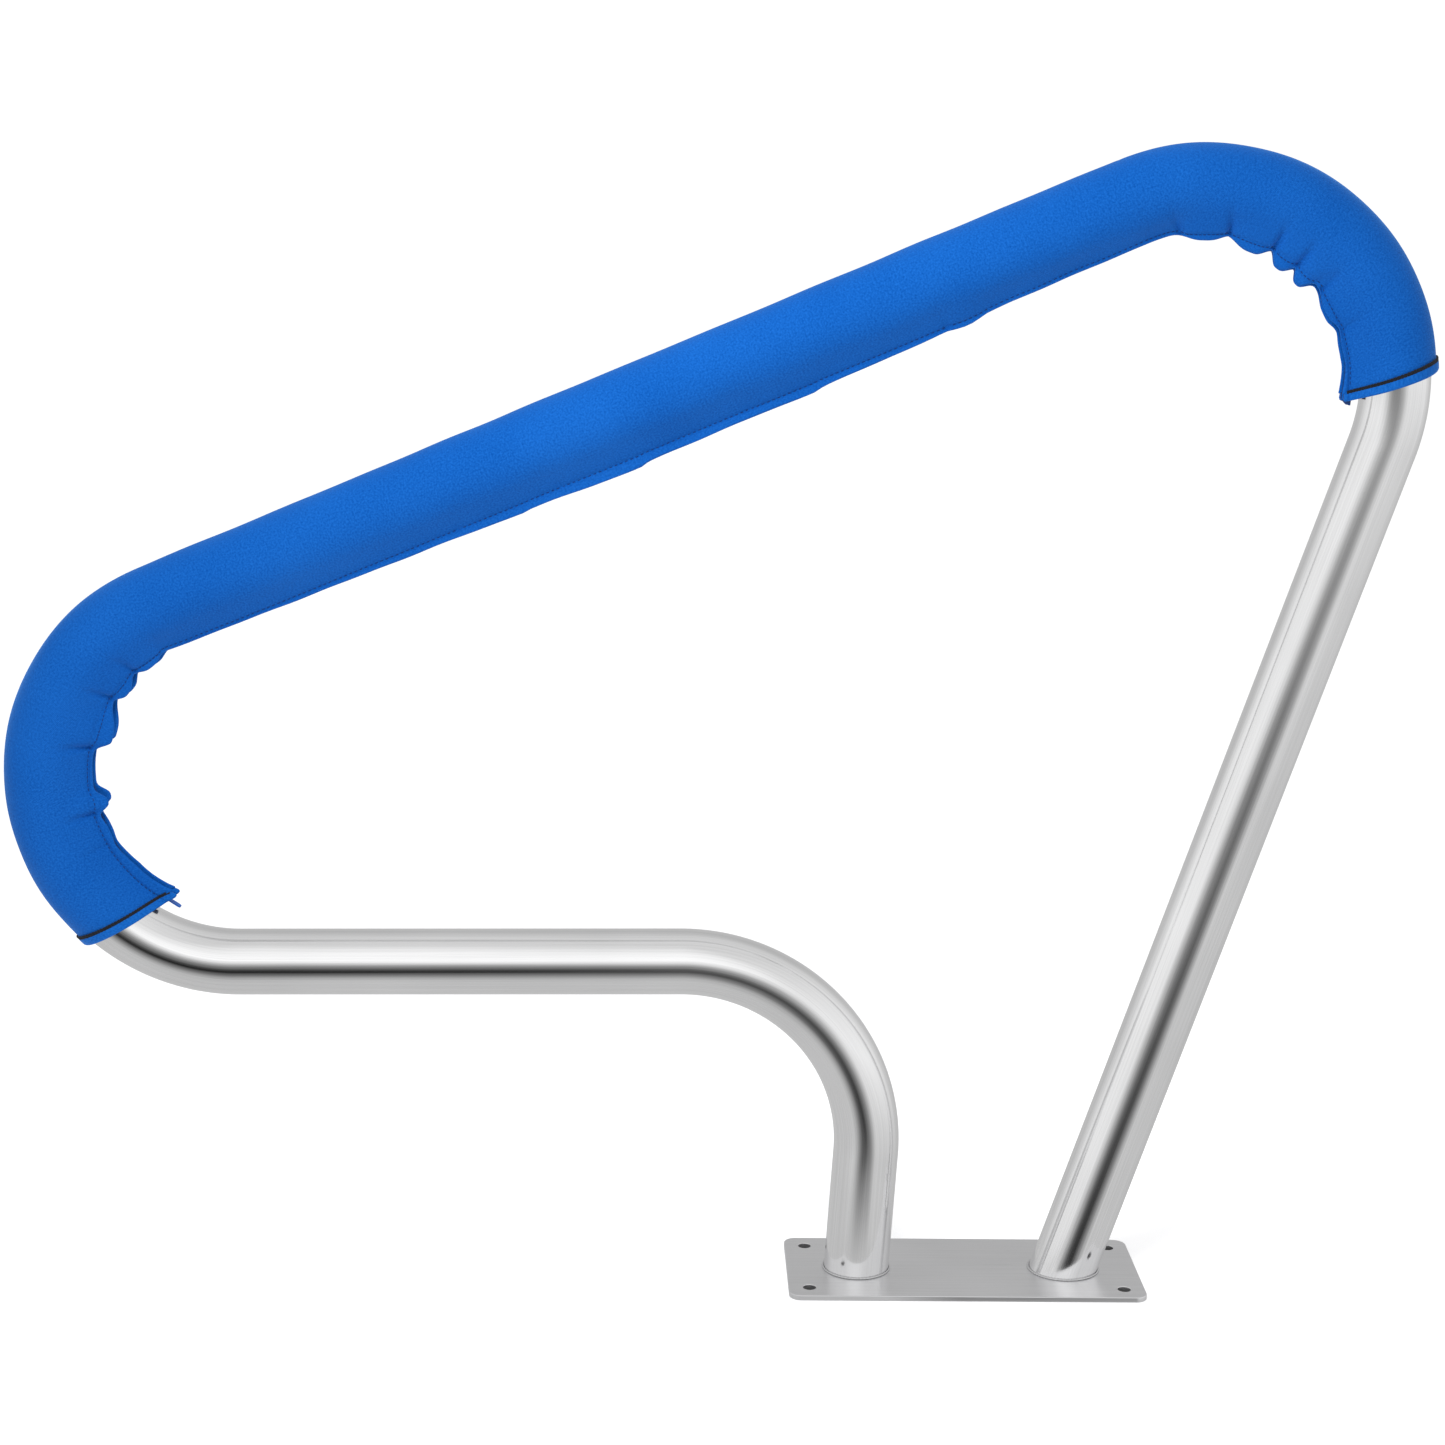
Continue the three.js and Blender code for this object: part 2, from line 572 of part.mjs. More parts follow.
addPiece("zipper_slider", makeSliderBody(), ZIP_PLASTIC, sliderPlace);
addPiece("zipper_pull", makePull(), PULL_PLASTIC, sliderPlace);

export default rail;
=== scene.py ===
"""Looks of the pool handrail: a satin stainless tube on a deck plate, with a zipped blue neoprene sleeve."""

import math

import bpy
import numpy as np
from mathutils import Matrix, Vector


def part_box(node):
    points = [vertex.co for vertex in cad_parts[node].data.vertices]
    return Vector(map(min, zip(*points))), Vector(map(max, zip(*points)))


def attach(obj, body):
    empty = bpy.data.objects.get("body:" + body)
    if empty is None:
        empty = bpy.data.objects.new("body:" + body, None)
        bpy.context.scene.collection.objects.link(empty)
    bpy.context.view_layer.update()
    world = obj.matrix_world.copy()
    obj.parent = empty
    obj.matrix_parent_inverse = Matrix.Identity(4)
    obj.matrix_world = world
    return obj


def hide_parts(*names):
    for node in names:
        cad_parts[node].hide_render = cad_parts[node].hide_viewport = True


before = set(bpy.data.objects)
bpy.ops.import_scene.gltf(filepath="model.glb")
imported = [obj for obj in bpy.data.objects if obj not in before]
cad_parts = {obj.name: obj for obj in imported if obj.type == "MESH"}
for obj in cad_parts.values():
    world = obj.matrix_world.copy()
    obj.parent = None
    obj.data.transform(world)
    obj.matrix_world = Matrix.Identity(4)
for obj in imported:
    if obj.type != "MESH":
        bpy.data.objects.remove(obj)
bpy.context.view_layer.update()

MM = 0.001

# ---- Tube: the same centreline as the CAD part, in metres ----
TUBE_RADIUS = 24.15 * MM
TUBE_WALL = 1.65 * MM
BEND_RADIUS = 138.2 * MM
PLATE_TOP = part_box("base_plate")[1].z
LEFT_FOOT = complex(-79.2 * MM, PLATE_TOP)
RIGHT_FOOT = complex(76.4 * MM, PLATE_TOP)
LEFT_LEG_LENGTH = 91.2 * MM
RUN_LENGTH = 323.7 * MM
LEG_UP, RUN, RAIL, LEG_DOWN = (math.radians(a) for a in (86.6, 180.4, 22.75, -108.2))
TUBE_SIDES = 96
BORE_SIDES = 96
TUBE_SPACINGS = [8 * MM, 3 * MM, 30 * MM, 3 * MM, 30 * MM, 3 * MM, 30 * MM]  # of rings, in each stretch
FOOT_GAP = 0.3 * MM  # between the tube's ends and the plate, hidden by the welds

# ---- Welds and plate ----
WELD_SIZE = 1.8 * MM
WELD_CENTRE, WELD_ROUND = 0.55, 0.75  # the middle and radius of a bead's section, as shares of half its size
WELD_SIDES = 14
WELD_RIPPLES, RIPPLE_HEIGHT = 64, 0.10
WELD_SWELLS, SWELL_HEIGHT = 5, 0.05
WELD_GAP = 0.25 * MM
HAIRLINE = 0.05 * MM
PLATE_CORNER = 9 * MM
PLATE_EDGE = 0.55 * MM
HOLE_INSET = 15.4 * MM  # of the bolt holes' centres from the plate's edges
HOLE_RADIUS = 4.75 * MM

# ---- Sleeve ----
FABRIC = 3.0 * MM
EASE = 0.8 * MM
SLEEVE_RADIUS = TUBE_RADIUS + EASE + FABRIC
START_TURN, END_TURN = 37.6, 112.3  # degrees round the second and third bends, at the centreline
LOWER_LEAN, UPPER_LEAN = math.radians(24), math.radians(19)
LEAN_FADE = 120 * MM
LIP_FRONT = 6.5 * MM  # from the seam's middle to a lip's outer face
LIP_THICKNESS = 2.9 * MM
ROOT_DEPTH = 33 * MM
HEM_WIDTH = 9 * MM
HEM_STEP = 1.7 * MM
HEM_CORNER = 4.5 * MM  # rounding of a hem's corners at the lips
TIP_ROUND = 2.4 * MM  # over which a hem thins towards its lips' edges
CHAIN_DEPTH = 31 * MM
AHEAD = 0.5 * MM  # a short way on, to find directions with


# ---- The centreline: x and z as one complex number ----
def cross(a, b):
    """The cross product of two plane vectors."""
    return (a.conjugate() * b).imag


def aim(heading):
    """The unit vector along a heading."""
    return complex(math.cos(heading), math.sin(heading))


def stretch_end(start, heading, length, turn):
    """Where a straight ends, or a bend if it has a turn."""
    if not turn:
        return start + length * aim(heading)
    centre = start + BEND_RADIUS * aim(heading + math.copysign(math.pi / 2, turn))
    return centre + (start - centre) * aim(turn)


def lay_out_centreline():
    """(start, heading, length, turn) of each straight and bend. The rail and the right leg close the path."""
    known = [
        (LEG_UP, LEFT_LEG_LENGTH, 0),
        (LEG_UP, 0, RUN - LEG_UP),
        (RUN, RUN_LENGTH, 0),
        (RUN, 0, RAIL - RUN),
    ]
    at = LEFT_FOOT
    stretches = []

    def add(heading, length, turn):
        nonlocal at
        stretches.append((at, heading, length or BEND_RADIUS * abs(turn), turn))
        at = stretch_end(at, heading, length, turn)

    for heading, length, turn in known:
        add(heading, length, turn)
    missing = RIGHT_FOOT - stretch_end(at, RAIL, 0, LEG_DOWN - RAIL)
    u, v = aim(RAIL), aim(LEG_DOWN)
    add(RAIL, cross(missing, v) / cross(u, v), 0)
    add(RAIL, 0, LEG_DOWN - RAIL)
    add(LEG_DOWN, cross(u, missing) / cross(u, v), 0)
    return stretches


STRETCHES = lay_out_centreline()
STARTS = np.array([s[0] for s in STRETCHES])
HEADINGS = np.array([s[1] for s in STRETCHES])
LENGTHS = np.array([s[2] for s in STRETCHES])
CURVATURES = np.array([s[3] for s in STRETCHES]) / LENGTHS
BEGINS = np.concatenate([[0], np.cumsum(LENGTHS)[:-1]])
PATH_LENGTH = LENGTHS.sum()
LEFT_BEND, RAIL_STRAIGHT, RIGHT_BEND = 3, 4, 5


def rail_at(distance):
    """Places, as complex numbers, and headings at distances from the left foot."""
    distance = np.asarray(distance, float)
    i = np.clip(np.searchsorted(BEGINS, distance, side="right") - 1, 0, len(BEGINS) - 1)
    along = distance - BEGINS[i]
    turned = CURVATURES[i] * along
    chord = along * np.sinc(turned / (2 * np.pi))
    return STARTS[i] + chord * np.exp(1j * (HEADINGS[i] + turned / 2)), HEADINGS[i] + turned


def on_rail(distance, front, depth):
    """Points in the row frame. Front is towards -Y, and depth is to the right of the tube's way."""
    place, heading = rail_at(distance)
    place = place + depth * np.exp(1j * (heading - np.pi / 2))
    return np.stack([place.real, 0 * place.real - front, place.imag], axis=-1)


def bend_place(stretch, degrees):
    """The distance from the left foot to a turn round a bend."""
    return BEGINS[stretch] + BEND_RADIUS * math.radians(degrees)


def straight_place(millimetres):
    """The distance from the left foot to a place on the rail's long straight."""
    return BEGINS[RAIL_STRAIGHT] + millimetres * MM


def steps(spacings, start, end):
    """Distances from start to end, as far apart as spacings says for each stretch."""
    marks = [start]
    for begin, length, spacing in zip(BEGINS, LENGTHS, spacings):
        low, high = max(start, begin), min(end, begin + length)
        if high > low:
            count = max(1, round((high - low) / spacing))
            marks += [low + (high - low) * k / count for k in range(1, count + 1)]
    return np.array(marks)


def loop_spacings(bend, straight):
    """Spacings for a piece that lies on the rail's long straight and its two bends, and nowhere else."""
    unused = 1
    return [unused, unused, unused, bend, straight, bend, unused]


# ---- Meshes ----
def finish_object(name, mesh, material, body, replaced=()):
    """Puts a piece on its body and in its material slot, in place of the CAD nodes that it replaces."""
    obj = bpy.data.objects.new(name, mesh)
    bpy.context.scene.collection.objects.link(obj)
    mesh.materials.append(material)
    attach(obj, body)
    if replaced:
        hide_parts(*replaced)
    return obj


def shade(mesh, sharp_degrees=40):
    """Smooth shading, except across edges that are sharper than the angle."""
    mesh.shade_smooth()
    mesh.set_sharp_from_angle(angle=math.radians(sharp_degrees))


def grid_mesh(name, rows, u, v, close_u=False, close_v=False, cap=False):
    """A mesh from rows of points. Its UVs are u along the rows and v across them, both in metres."""
    n_v, n_u = rows.shape[:2]
    quads_v = n_v if close_v else n_v - 1
    quads_u = n_u if close_u else n_u - 1
    j, i = np.meshgrid(np.arange(quads_v), np.arange(quads_u), indexing="ij")
    j, i = j.ravel(), i.ravel()
    corners = [(j, i), (j, i + 1), (j + 1, i + 1), (j + 1, i)]
    quads = np.stack([(a % n_v) * n_u + b % n_u for a, b in corners], axis=1)
    uvs = np.stack([np.stack([u[b], v[a]], axis=-1) for a, b in corners], axis=1).reshape(-1, 2)
    faces = quads.tolist()
    if cap:
        faces += [list(range(n_u))[::-1], list(range((n_v - 1) * n_u, n_v * n_u))]
        ends = [np.stack([u[np.arange(n_u)], np.full(n_u, end)], axis=-1) for end in (v[0], v[-1])]
        uvs = np.concatenate([uvs, ends[0][::-1], ends[1]])
    mesh = bpy.data.meshes.new(name)
    mesh.from_pydata(rows.reshape(-1, 3), [], faces)
    mesh.uv_layers.new(name="UVMap").data.foreach_set("uv", uvs.astype(np.float32).ravel())
    mesh.validate()
    shade(mesh)
    return mesh


def lengths_along(points):
    """Running length along a line of points."""
    return np.concatenate([[0], np.cumsum(np.linalg.norm(np.diff(points, axis=0), axis=-1))])


def bead(length, width, height, sides=6):
    """Points and faces of one small rounded rod along x."""
    stations = [(-0.5, 0.35), (-0.36, 1), (0.36, 1), (0.5, 0.35)]  # shares of its length and of its thickness
    turn = np.arange(sides) * 2 * np.pi / sides
    rings = []
    faces = []
    for x, thickness in stations:
        across = thickness * width / 2 * np.cos(turn)
        up = thickness * height / 2 * np.sin(turn)
        rings.append(np.stack([np.full(sides, x * length), across, up], -1))
    for k in range(len(stations) - 1):
        low, high = k * sides, (k + 1) * sides
        for a in range(sides):
            b = (a + 1) % sides
            faces.append([high + a, high + b, low + b, low + a])
    last = (len(stations) - 1) * sides
    faces += [list(range(sides)), list(range(last, last + sides))[::-1]]
    return np.concatenate(rings), faces


def scatter_mesh(name, shape, places, along, across):
    """One mesh of many copies of a small shape: x runs along, y across, z the way that is left."""
    points, faces = shape
    along = along / np.linalg.norm(along, axis=1, keepdims=True)
    normal = np.cross(along, across)
    normal /= np.linalg.norm(normal, axis=1, keepdims=True)
    across = np.cross(normal, along)
    axes = np.stack([along, across, normal], axis=1)
    all_points = places[:, None] + np.einsum("pk,nkc->npc", points, axes)
    all_faces = [[n * len(points) + c for c in face] for n in range(len(places)) for face in faces]
    mesh = bpy.data.meshes.new(name)
    mesh.from_pydata(all_points.reshape(-1, 3), [], all_faces)
    shade(mesh, 60)
    return mesh


# ---- Material kit ----
class Tree:
    """A node tree, with short calls for what both the materials and the world need."""

    def __init__(self, tree):
        self.tree = tree

    def add(self, kind, links=(), **settings):
        """A new node. Links are (its socket, the output that feeds it), and settings its values or modes."""
        node = self.tree.nodes.new(kind)
        for key, value in settings.items():
            if hasattr(node, key):
                setattr(node, key, value)
            else:
                node.inputs[key.replace("_", " ")].default_value = value
        for socket, source in links:
            self.tree.links.new(source, node.inputs[socket])
        return node

    def calc(self, operation, *values):
        """The result of a math operation on numbers or sockets."""
        node = self.add("ShaderNodeMath", operation=operation)
        for socket, value in zip(node.inputs, values):
            if isinstance(value, (int, float)):
                socket.default_value = value
            else:
                self.tree.links.new(value, socket)
        return node.outputs["Value"]

    def colours(self, factor, *stops):
        """A colour ramp of (position, (r, g, b)) stops."""
        node = self.add("ShaderNodeValToRGB", [("Fac", factor)])
        elements = node.color_ramp.elements
        for k, (position, colour) in enumerate(stops):
            element = elements[k] if k < 2 else elements.new(position)
            element.position = position
            element.color = (*colour, 1)
        return node.outputs["Color"]


class Nodes(Tree):
    """A material's node tree, with short calls for what every material here needs."""

    def __init__(self, name, **sockets):
        self.material = bpy.data.materials.new(name)
        self.material.use_nodes = True
        super().__init__(self.material.node_tree)
        self.shader = self.tree.nodes["Principled BSDF"]
        for socket, value in sockets.items():
            self.shader.inputs[socket.replace("_", " ")].default_value = value

    def coordinates(self, scale, output="UV", rotation=(0, 0, 0)):
        """The piece's own coordinates, scaled and turned."""
        source = self.add("ShaderNodeTexCoord").outputs[output]
        mapping = self.add("ShaderNodeMapping", [("Vector", source)], Scale=scale, Rotation=rotation)
        return mapping.outputs["Vector"]

    def noise(self, vector, scale, detail=3.0, roughness=0.55):
        """Cloudy values round 0.5."""
        node = self.add("ShaderNodeTexNoise", [("Vector", vector)], Scale=scale, Detail=detail)
        node.inputs["Roughness"].default_value = roughness
        return node.outputs["Fac"]

    def waves(self, vector, direction):
        """Sine bands, one for each unit of the vector."""
        unit = math.pi / 10
        node = self.add("ShaderNodeTexWave", [("Vector", vector)], Scale=unit, bands_direction=direction)
        return node.outputs["Fac"]

    def ramp(self, factor, low, high):
        """Values from low to high as the factor goes over the middle, from 0.3 to 0.7, where noise lies."""
        node = self.add("ShaderNodeMapRange", [("Value", factor)])
        for socket, value in zip(("From Min", "From Max", "To Min", "To Max"), (0.3, 0.7, low, high)):
            node.inputs[socket].default_value = value
        return node.outputs["Result"]

    def drive(self, socket, output):
        """Links an output to one of the shader's sockets."""
        self.tree.links.new(output, self.shader.inputs[socket])

    def bump(self, height, distance, strength=1.0, under=None):
        """Relief, on top of the relief under it if there is one."""
        links = [("Height", height)] + ([("Normal", under)] if under else [])
        node = self.add("ShaderNodeBump", links, Distance=distance, Strength=strength)
        self.drive("Normal", node.outputs["Normal"])
        return node.outputs["Normal"]


STEEL_CLOUDS = (9, 9, 9)  # scales, for each metre
KNIT_PATCHES = (14, 14, 14)
THREAD_TWIST = (2500, 2500, 2500)
MOULD_MOTTLE = (900, 900, 900)
YARN = 1.5 * MM
KNIT_TURN = math.radians(28)
TAPE_PITCH = 0.6 * MM


def brushed_steel(name, base, roughness, grain, coordinates):
    """Satin stainless steel. Grain is the scale of the brush marks, small along them and large across."""
    nodes = Nodes(name, Metallic=1.0)
    lines = nodes.coordinates(grain, coordinates)
    marks = nodes.noise(lines, 1.0, detail=4.0)
    clouds = nodes.noise(nodes.coordinates(STEEL_CLOUDS, "Object"), 1.0, detail=2.0)
    tone = nodes.calc("ADD", nodes.calc("MULTIPLY", marks, 0.6), nodes.calc("MULTIPLY", clouds, 0.4))
    darker = tuple(0.86 * c for c in base)
    nodes.drive("Base Color", nodes.colours(tone, (0.35, darker), (0.65, base)))
    nodes.drive("Roughness", nodes.ramp(tone, roughness - 0.03, roughness + 0.03))
    nodes.bump(marks, 0.02 * MM, 0.35)
    return nodes.material


def knit(name, dark, light, pitch, relief):
    """Knit-faced neoprene: wales and courses, heathered yarn and a soft nap."""
    nodes = Nodes(name, Sheen_Weight=0.42, Sheen_Roughness=0.35, Specular_IOR_Level=0.06)
    nodes.shader.inputs["Sheen Tint"].default_value = (0.22, 0.52, 1.0, 1)
    weave = nodes.coordinates((1 / pitch, 1 / pitch, 1), rotation=(0, 0, KNIT_TURN))
    wales = nodes.waves(weave, "X")
    courses = nodes.waves(weave, "Y")
    stitches = nodes.calc("MULTIPLY", wales, courses)
    yarn = nodes.noise(nodes.coordinates((1 / YARN, 1 / YARN, 1)), 1.0, detail=2.0)
    patches = nodes.noise(nodes.coordinates(KNIT_PATCHES, "Object"), 1.0, detail=2.0)
    heather = nodes.calc("ADD", nodes.calc("MULTIPLY", yarn, 0.9), nodes.calc("MULTIPLY", patches, 0.25))
    tone = nodes.calc("ADD", heather, nodes.calc("MULTIPLY", stitches, 0.12))
    nodes.drive("Base Color", nodes.colours(tone, (0.40, dark), (0.80, light)))
    nodes.drive("Roughness", nodes.ramp(yarn, 0.78, 0.92))
    soft = nodes.bump(yarn, 0.25 * MM, 0.3)
    nodes.bump(stitches, relief, 0.6, soft)
    return nodes.material


def thread(name, dark, light):
    """Twisted sewing thread."""
    nodes = Nodes(name, Specular_IOR_Level=0.3)
    twist = nodes.waves(nodes.coordinates(THREAD_TWIST, "Object", (0.5, 0.6, 0.4)), "DIAGONAL")
    nodes.drive("Base Color", nodes.colours(twist, (0.2, dark), (0.9, light)))
    nodes.drive("Roughness", nodes.ramp(twist, 0.6, 0.8))
    nodes.bump(twist, 0.1 * MM, 0.5)
    return nodes.material


def woven_tape(name, dark, light):
    """The zipper's plain-woven tape."""
    nodes = Nodes(name, Sheen_Weight=0.1)
    grid = nodes.coordinates((1 / TAPE_PITCH, 1 / TAPE_PITCH, 1))
    weave = nodes.calc("MULTIPLY", nodes.waves(grid, "X"), nodes.waves(grid, "Y"))
    nodes.drive("Base Color", nodes.colours(weave, (0.1, dark), (0.8, light)))
    nodes.drive("Roughness", nodes.ramp(weave, 0.8, 0.9))
    nodes.bump(weave, 0.12 * MM, 0.6)
    return nodes.material


def moulded(name, dark, light, roughness):
    """Moulded plastic, or anything else with a fine mottle."""
    nodes = Nodes(name, Specular_IOR_Level=0.5)
    mottle = nodes.noise(nodes.coordinates(MOULD_MOTTLE, "Object"), 1.0)
    nodes.drive("Base Color", nodes.colours(mottle, (0.3, dark), (0.7, light)))
    nodes.drive("Roughness", nodes.ramp(mottle, roughness - 0.06, roughness + 0.08))
    nodes.bump(mottle, 0.03 * MM, 0.4)
    return nodes.material


TUBE_STEEL = brushed_steel("tube_steel", (0.94, 0.94, 0.945), 0.13, (1100, 5, 1), "UV")
PLATE_STEEL = brushed_steel("plate_steel", (0.84, 0.84, 0.85), 0.30, (12, 2400, 2400), "Object")
WELD_STEEL = brushed_steel("weld_steel", (0.72, 0.72, 0.73), 0.34, (400, 400, 400), "Object")
NEOPRENE = knit("neoprene", (0.002, 0.070, 0.330), (0.009, 0.118, 0.475), 1.1 * MM, 0.16 * MM)
HEM_KNIT = knit("hem_knit", (0.002, 0.078, 0.355), (0.010, 0.128, 0.50), 0.9 * MM, 0.12 * MM)
BLACK_THREAD = thread("black_thread", (0.003, 0.004, 0.008), (0.012, 0.014, 0.022))
BLUE_THREAD = thread("blue_thread", (0.001, 0.020, 0.12), (0.003, 0.036, 0.19))
TAPE_WEAVE = woven_tape("tape_weave", (0.004, 0.035, 0.16), (0.010, 0.070, 0.28))
ZIP_PLASTIC = moulded("zip_plastic", (0.006, 0.020, 0.065), (0.010, 0.030, 0.085), 0.38)
PULL_PLASTIC = moulded("pull_plastic", (0.008, 0.085, 0.38), (0.012, 0.110, 0.46), 0.45)


# ---- Tube and welds ----
def circle(radius, sides):
    """The two coordinates of points round a circle."""
    turn = np.linspace(0, 2 * np.pi, sides, endpoint=False)
    return radius * np.cos(turn), radius * np.sin(turn)


def tube_rows(radius, marks, sides):
    """Rings of points, with the first and last slid along the legs onto the plate's top."""
    front, depth = circle(radius, sides)
    rows = on_rail(marks[:, None], front[None], depth[None])
    foot = PLATE_TOP + FOOT_GAP
    for k, heading in ((0, LEG_UP), (-1, LEG_DOWN)):
        drop = foot - rows[k, :, 2]
        rows[k, :, 0] += drop / math.tan(heading)
        rows[k, :, 2] = foot
    return rows


def make_tube():
    clear_of_plate = TUBE_RADIUS * 0.45
    marks = steps(TUBE_SPACINGS, clear_of_plate, PATH_LENGTH - clear_of_plate)
    marks = np.concatenate([[0], marks, [PATH_LENGTH]])
    outside = tube_rows(TUBE_RADIUS, marks, TUBE_SIDES)
    bore = tube_rows(TUBE_RADIUS - TUBE_WALL, marks, BORE_SIDES)
    rows = np.concatenate([outside, bore[::-1]])
    around = np.arange(TUBE_SIDES + 1) * 2 * math.pi * TUBE_RADIUS / TUBE_SIDES
    along = np.concatenate([marks, marks[::-1], marks[:1]])
    mesh = grid_mesh("tube", rows, around, along, close_u=True, close_v=True)
    return finish_object("tube", mesh, TUBE_STEEL, "rail", ["rail_tube"])


def make_weld(name, foot, heading, node):
    """A small fillet bead with the fine ripples of a machine weld, round the tube's elliptical foot."""
    count = WELD_RIPPLES * 6
    turn = np.linspace(0, 2 * np.pi, count, endpoint=False)
    ripple = 1 + RIPPLE_HEIGHT * np.cos(turn * WELD_RIPPLES) + SWELL_HEIGHT * np.sin(turn * WELD_SWELLS)
    section = np.linspace(0, 2 * np.pi, WELD_SIDES, endpoint=False)
    lean = 1 / math.tan(heading)
    stretch = 1 / abs(math.sin(heading))
    size = WELD_SIZE * 0.5 * ripple[None, :]
    out = TUBE_RADIUS + WELD_GAP + size * (WELD_CENTRE + WELD_ROUND * np.cos(section)[:, None])
    up = size * (WELD_CENTRE + WELD_ROUND * np.sin(section)[:, None])
    up = np.maximum(up, HAIRLINE)
    x = foot.real + stretch * out * np.cos(turn) + lean * up
    rows = np.stack([x, out * np.sin(turn), PLATE_TOP + HAIRLINE + up], -1)
    around = np.arange(count + 1) * 2 * math.pi * TUBE_RADIUS / count
    across = np.arange(len(section) + 1) * 0.4 * MM
    mesh = grid_mesh(name, rows[::-1], around, across, close_u=True, close_v=True)
    return finish_object(name, mesh, WELD_STEEL, "rail", [node])


# ---- Plate: the CAD outline again, with fine arcs and a softened edge ----
def make_plate():
    low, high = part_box("base_plate")
    curve = bpy.data.curves.new("plate", "CURVE")
    curve.dimensions = "2D"
    curve.fill_mode = "BOTH"
    curve.extrude = (high.z - low.z) / 2 - PLATE_EDGE
    curve.bevel_depth = PLATE_EDGE
    curve.bevel_resolution = 3
    curve.offset = -PLATE_EDGE

    def add_outline(points):
        spline = curve.splines.new("POLY")
        spline.points.add(len(points) - 1)
        for point, (x, y) in zip(spline.points, points):
            point.co = (x, y, 0, 1)
        spline.use_cyclic_u = True

    def arc(x, y, radius, start, end, count):
        angles = [start + (end - start) * k / count for k in range(count + 1)]
        return [(x + radius * math.cos(a), y + radius * math.sin(a)) for a in angles]

    outline = []
    for k, (sx, sy) in enumerate(((1, 1), (-1, 1), (-1, -1), (1, -1))):
        start = k * math.pi / 2
        x, y = sx * (high.x - PLATE_CORNER), sy * (high.y - PLATE_CORNER)
        outline += arc(x, y, PLATE_CORNER, start, start + math.pi / 2, 16)
    add_outline(outline)
    for sx in (-1, 1):
        for sy in (-1, 1):
            x, y = sx * (high.x - HOLE_INSET), sy * (high.y - HOLE_INSET)
            add_outline(arc(x, y, HOLE_RADIUS, 0, 2 * math.pi, 48)[:-1])

    source = bpy.data.objects.new("plate_curve", curve)
    bpy.context.scene.collection.objects.link(source)
    source.location.z = (low.z + high.z) / 2
    bpy.context.view_layer.update()
    mesh = bpy.data.meshes.new_from_object(source.evaluated_get(bpy.context.evaluated_depsgraph_get()))
    mesh.transform(source.matrix_world)
    bpy.data.objects.remove(source)
    mesh.name = "plate"
    mesh.materials.clear()
    shade(mesh, 30)
    return finish_object("plate", mesh, PLATE_STEEL, "rail", ["base_plate"])


# ---- Sleeve: where its lips bulge and crease ----
SLEEVE_START = bend_place(LEFT_BEND, START_TURN)
SLEEVE_END = bend_place(RIGHT_BEND, END_TURN)
LIP_EDGE = [  # the free edge's usual depth along the seam, in mm from the tube's centreline
    (bend_place(LEFT_BEND, 27), 44.5),
    (bend_place(LEFT_BEND, 36), 42.5),
    (bend_place(LEFT_BEND, 50), 41.5),
    (bend_place(LEFT_BEND, 62), 38.4),
    (bend_place(LEFT_BEND, 95), 36.6),
    (bend_place(LEFT_BEND, 125), 35.6),
    (bend_place(LEFT_BEND, 155), 34.2),
    (straight_place(30), 35.2),
    (straight_place(180), 38.3),
    (straight_place(350), 41.0),
    (straight_place(480), 39.0),
    (straight_place(560), 37.6),
    (straight_place(640), 34.2),
    (bend_place(RIGHT_BEND, 10), 32.8),
    (bend_place(RIGHT_BEND, 70), 34.0),
    (bend_place(RIGHT_BEND, 100), 35.5),
    (bend_place(RIGHT_BEND, 119), 39.0),
]
FOLDS = [  # place of a bulge, its height and its half widths before and after, in mm
    (bend_place(LEFT_BEND, 68), 1.5, 12, 12),
    (bend_place(LEFT_BEND, 80.5), 9.0, 9, 9),
    (bend_place(LEFT_BEND, 109), 11.5, 12, 28),
    (bend_place(LEFT_BEND, 131), 6.5, 12, 13),
    (bend_place(LEFT_BEND, 146), 4.5, 13, 13),
    (straight_place(270), 0.7, 40, 4),
    (straight_place(360), 1.4, 50, 4),
    (straight_place(492), 1.3, 40, 5),
    (straight_place(608), 2.4, 11, 11),
    (bend_place(RIGHT_BEND, 22), 5.6, 20, 19),
    (bend_place(RIGHT_BEND, 42), 7.8, 22, 13),
    (bend_place(RIGHT_BEND, 54.5), 8.8, 11, 12),
    (bend_place(RIGHT_BEND, 65), 8.8, 10, 9),
    (bend_place(RIGHT_BEND, 82), 4.6, 17, 14),
    (bend_place(RIGHT_BEND, 97), 1.2, 12, 12),
]
PANEL_JOINS = [straight_place(434), bend_place(RIGHT_BEND, 1)]


def smooth_step(x):
    """A smooth rise from 0 to 1 as x goes from 0 to 1."""
    x = np.clip(x, 0, 1)
    return x * x * (3 - 2 * x)


def bell(offset, width):
    """1 in the middle, falling off smoothly to both sides."""
    return np.exp(-((offset / width) ** 2))


def bump_at(distance, place, before, after):
    """A flat-topped bump, with its half widths before and after its place in mm."""
    offset = (distance - place) / MM
    return np.exp(-np.abs(offset / np.where(offset < 0, before, after)) ** 3)


def lip_bulge(distance, shift=0.0):
    """How far the folds push a lip's edge out, in metres. Shift moves them along, for the back lip."""
    return MM * np.max([h * bump_at(distance - shift, p, a, b) for p, h, a, b in FOLDS], axis=0)


def lip_depth(distance, shift=0.0):
    """How far inside the loop a lip's free edge lies, from the tube's centreline."""
    usual = np.interp(distance, [p for p, _ in LIP_EDGE], [d * MM for _, d in LIP_EDGE])
    ripple = 0.25 * MM * np.sin(distance / (9 * MM)) * np.sin(distance / (31 * MM))
    return usual + ripple + lip_bulge(distance, shift)


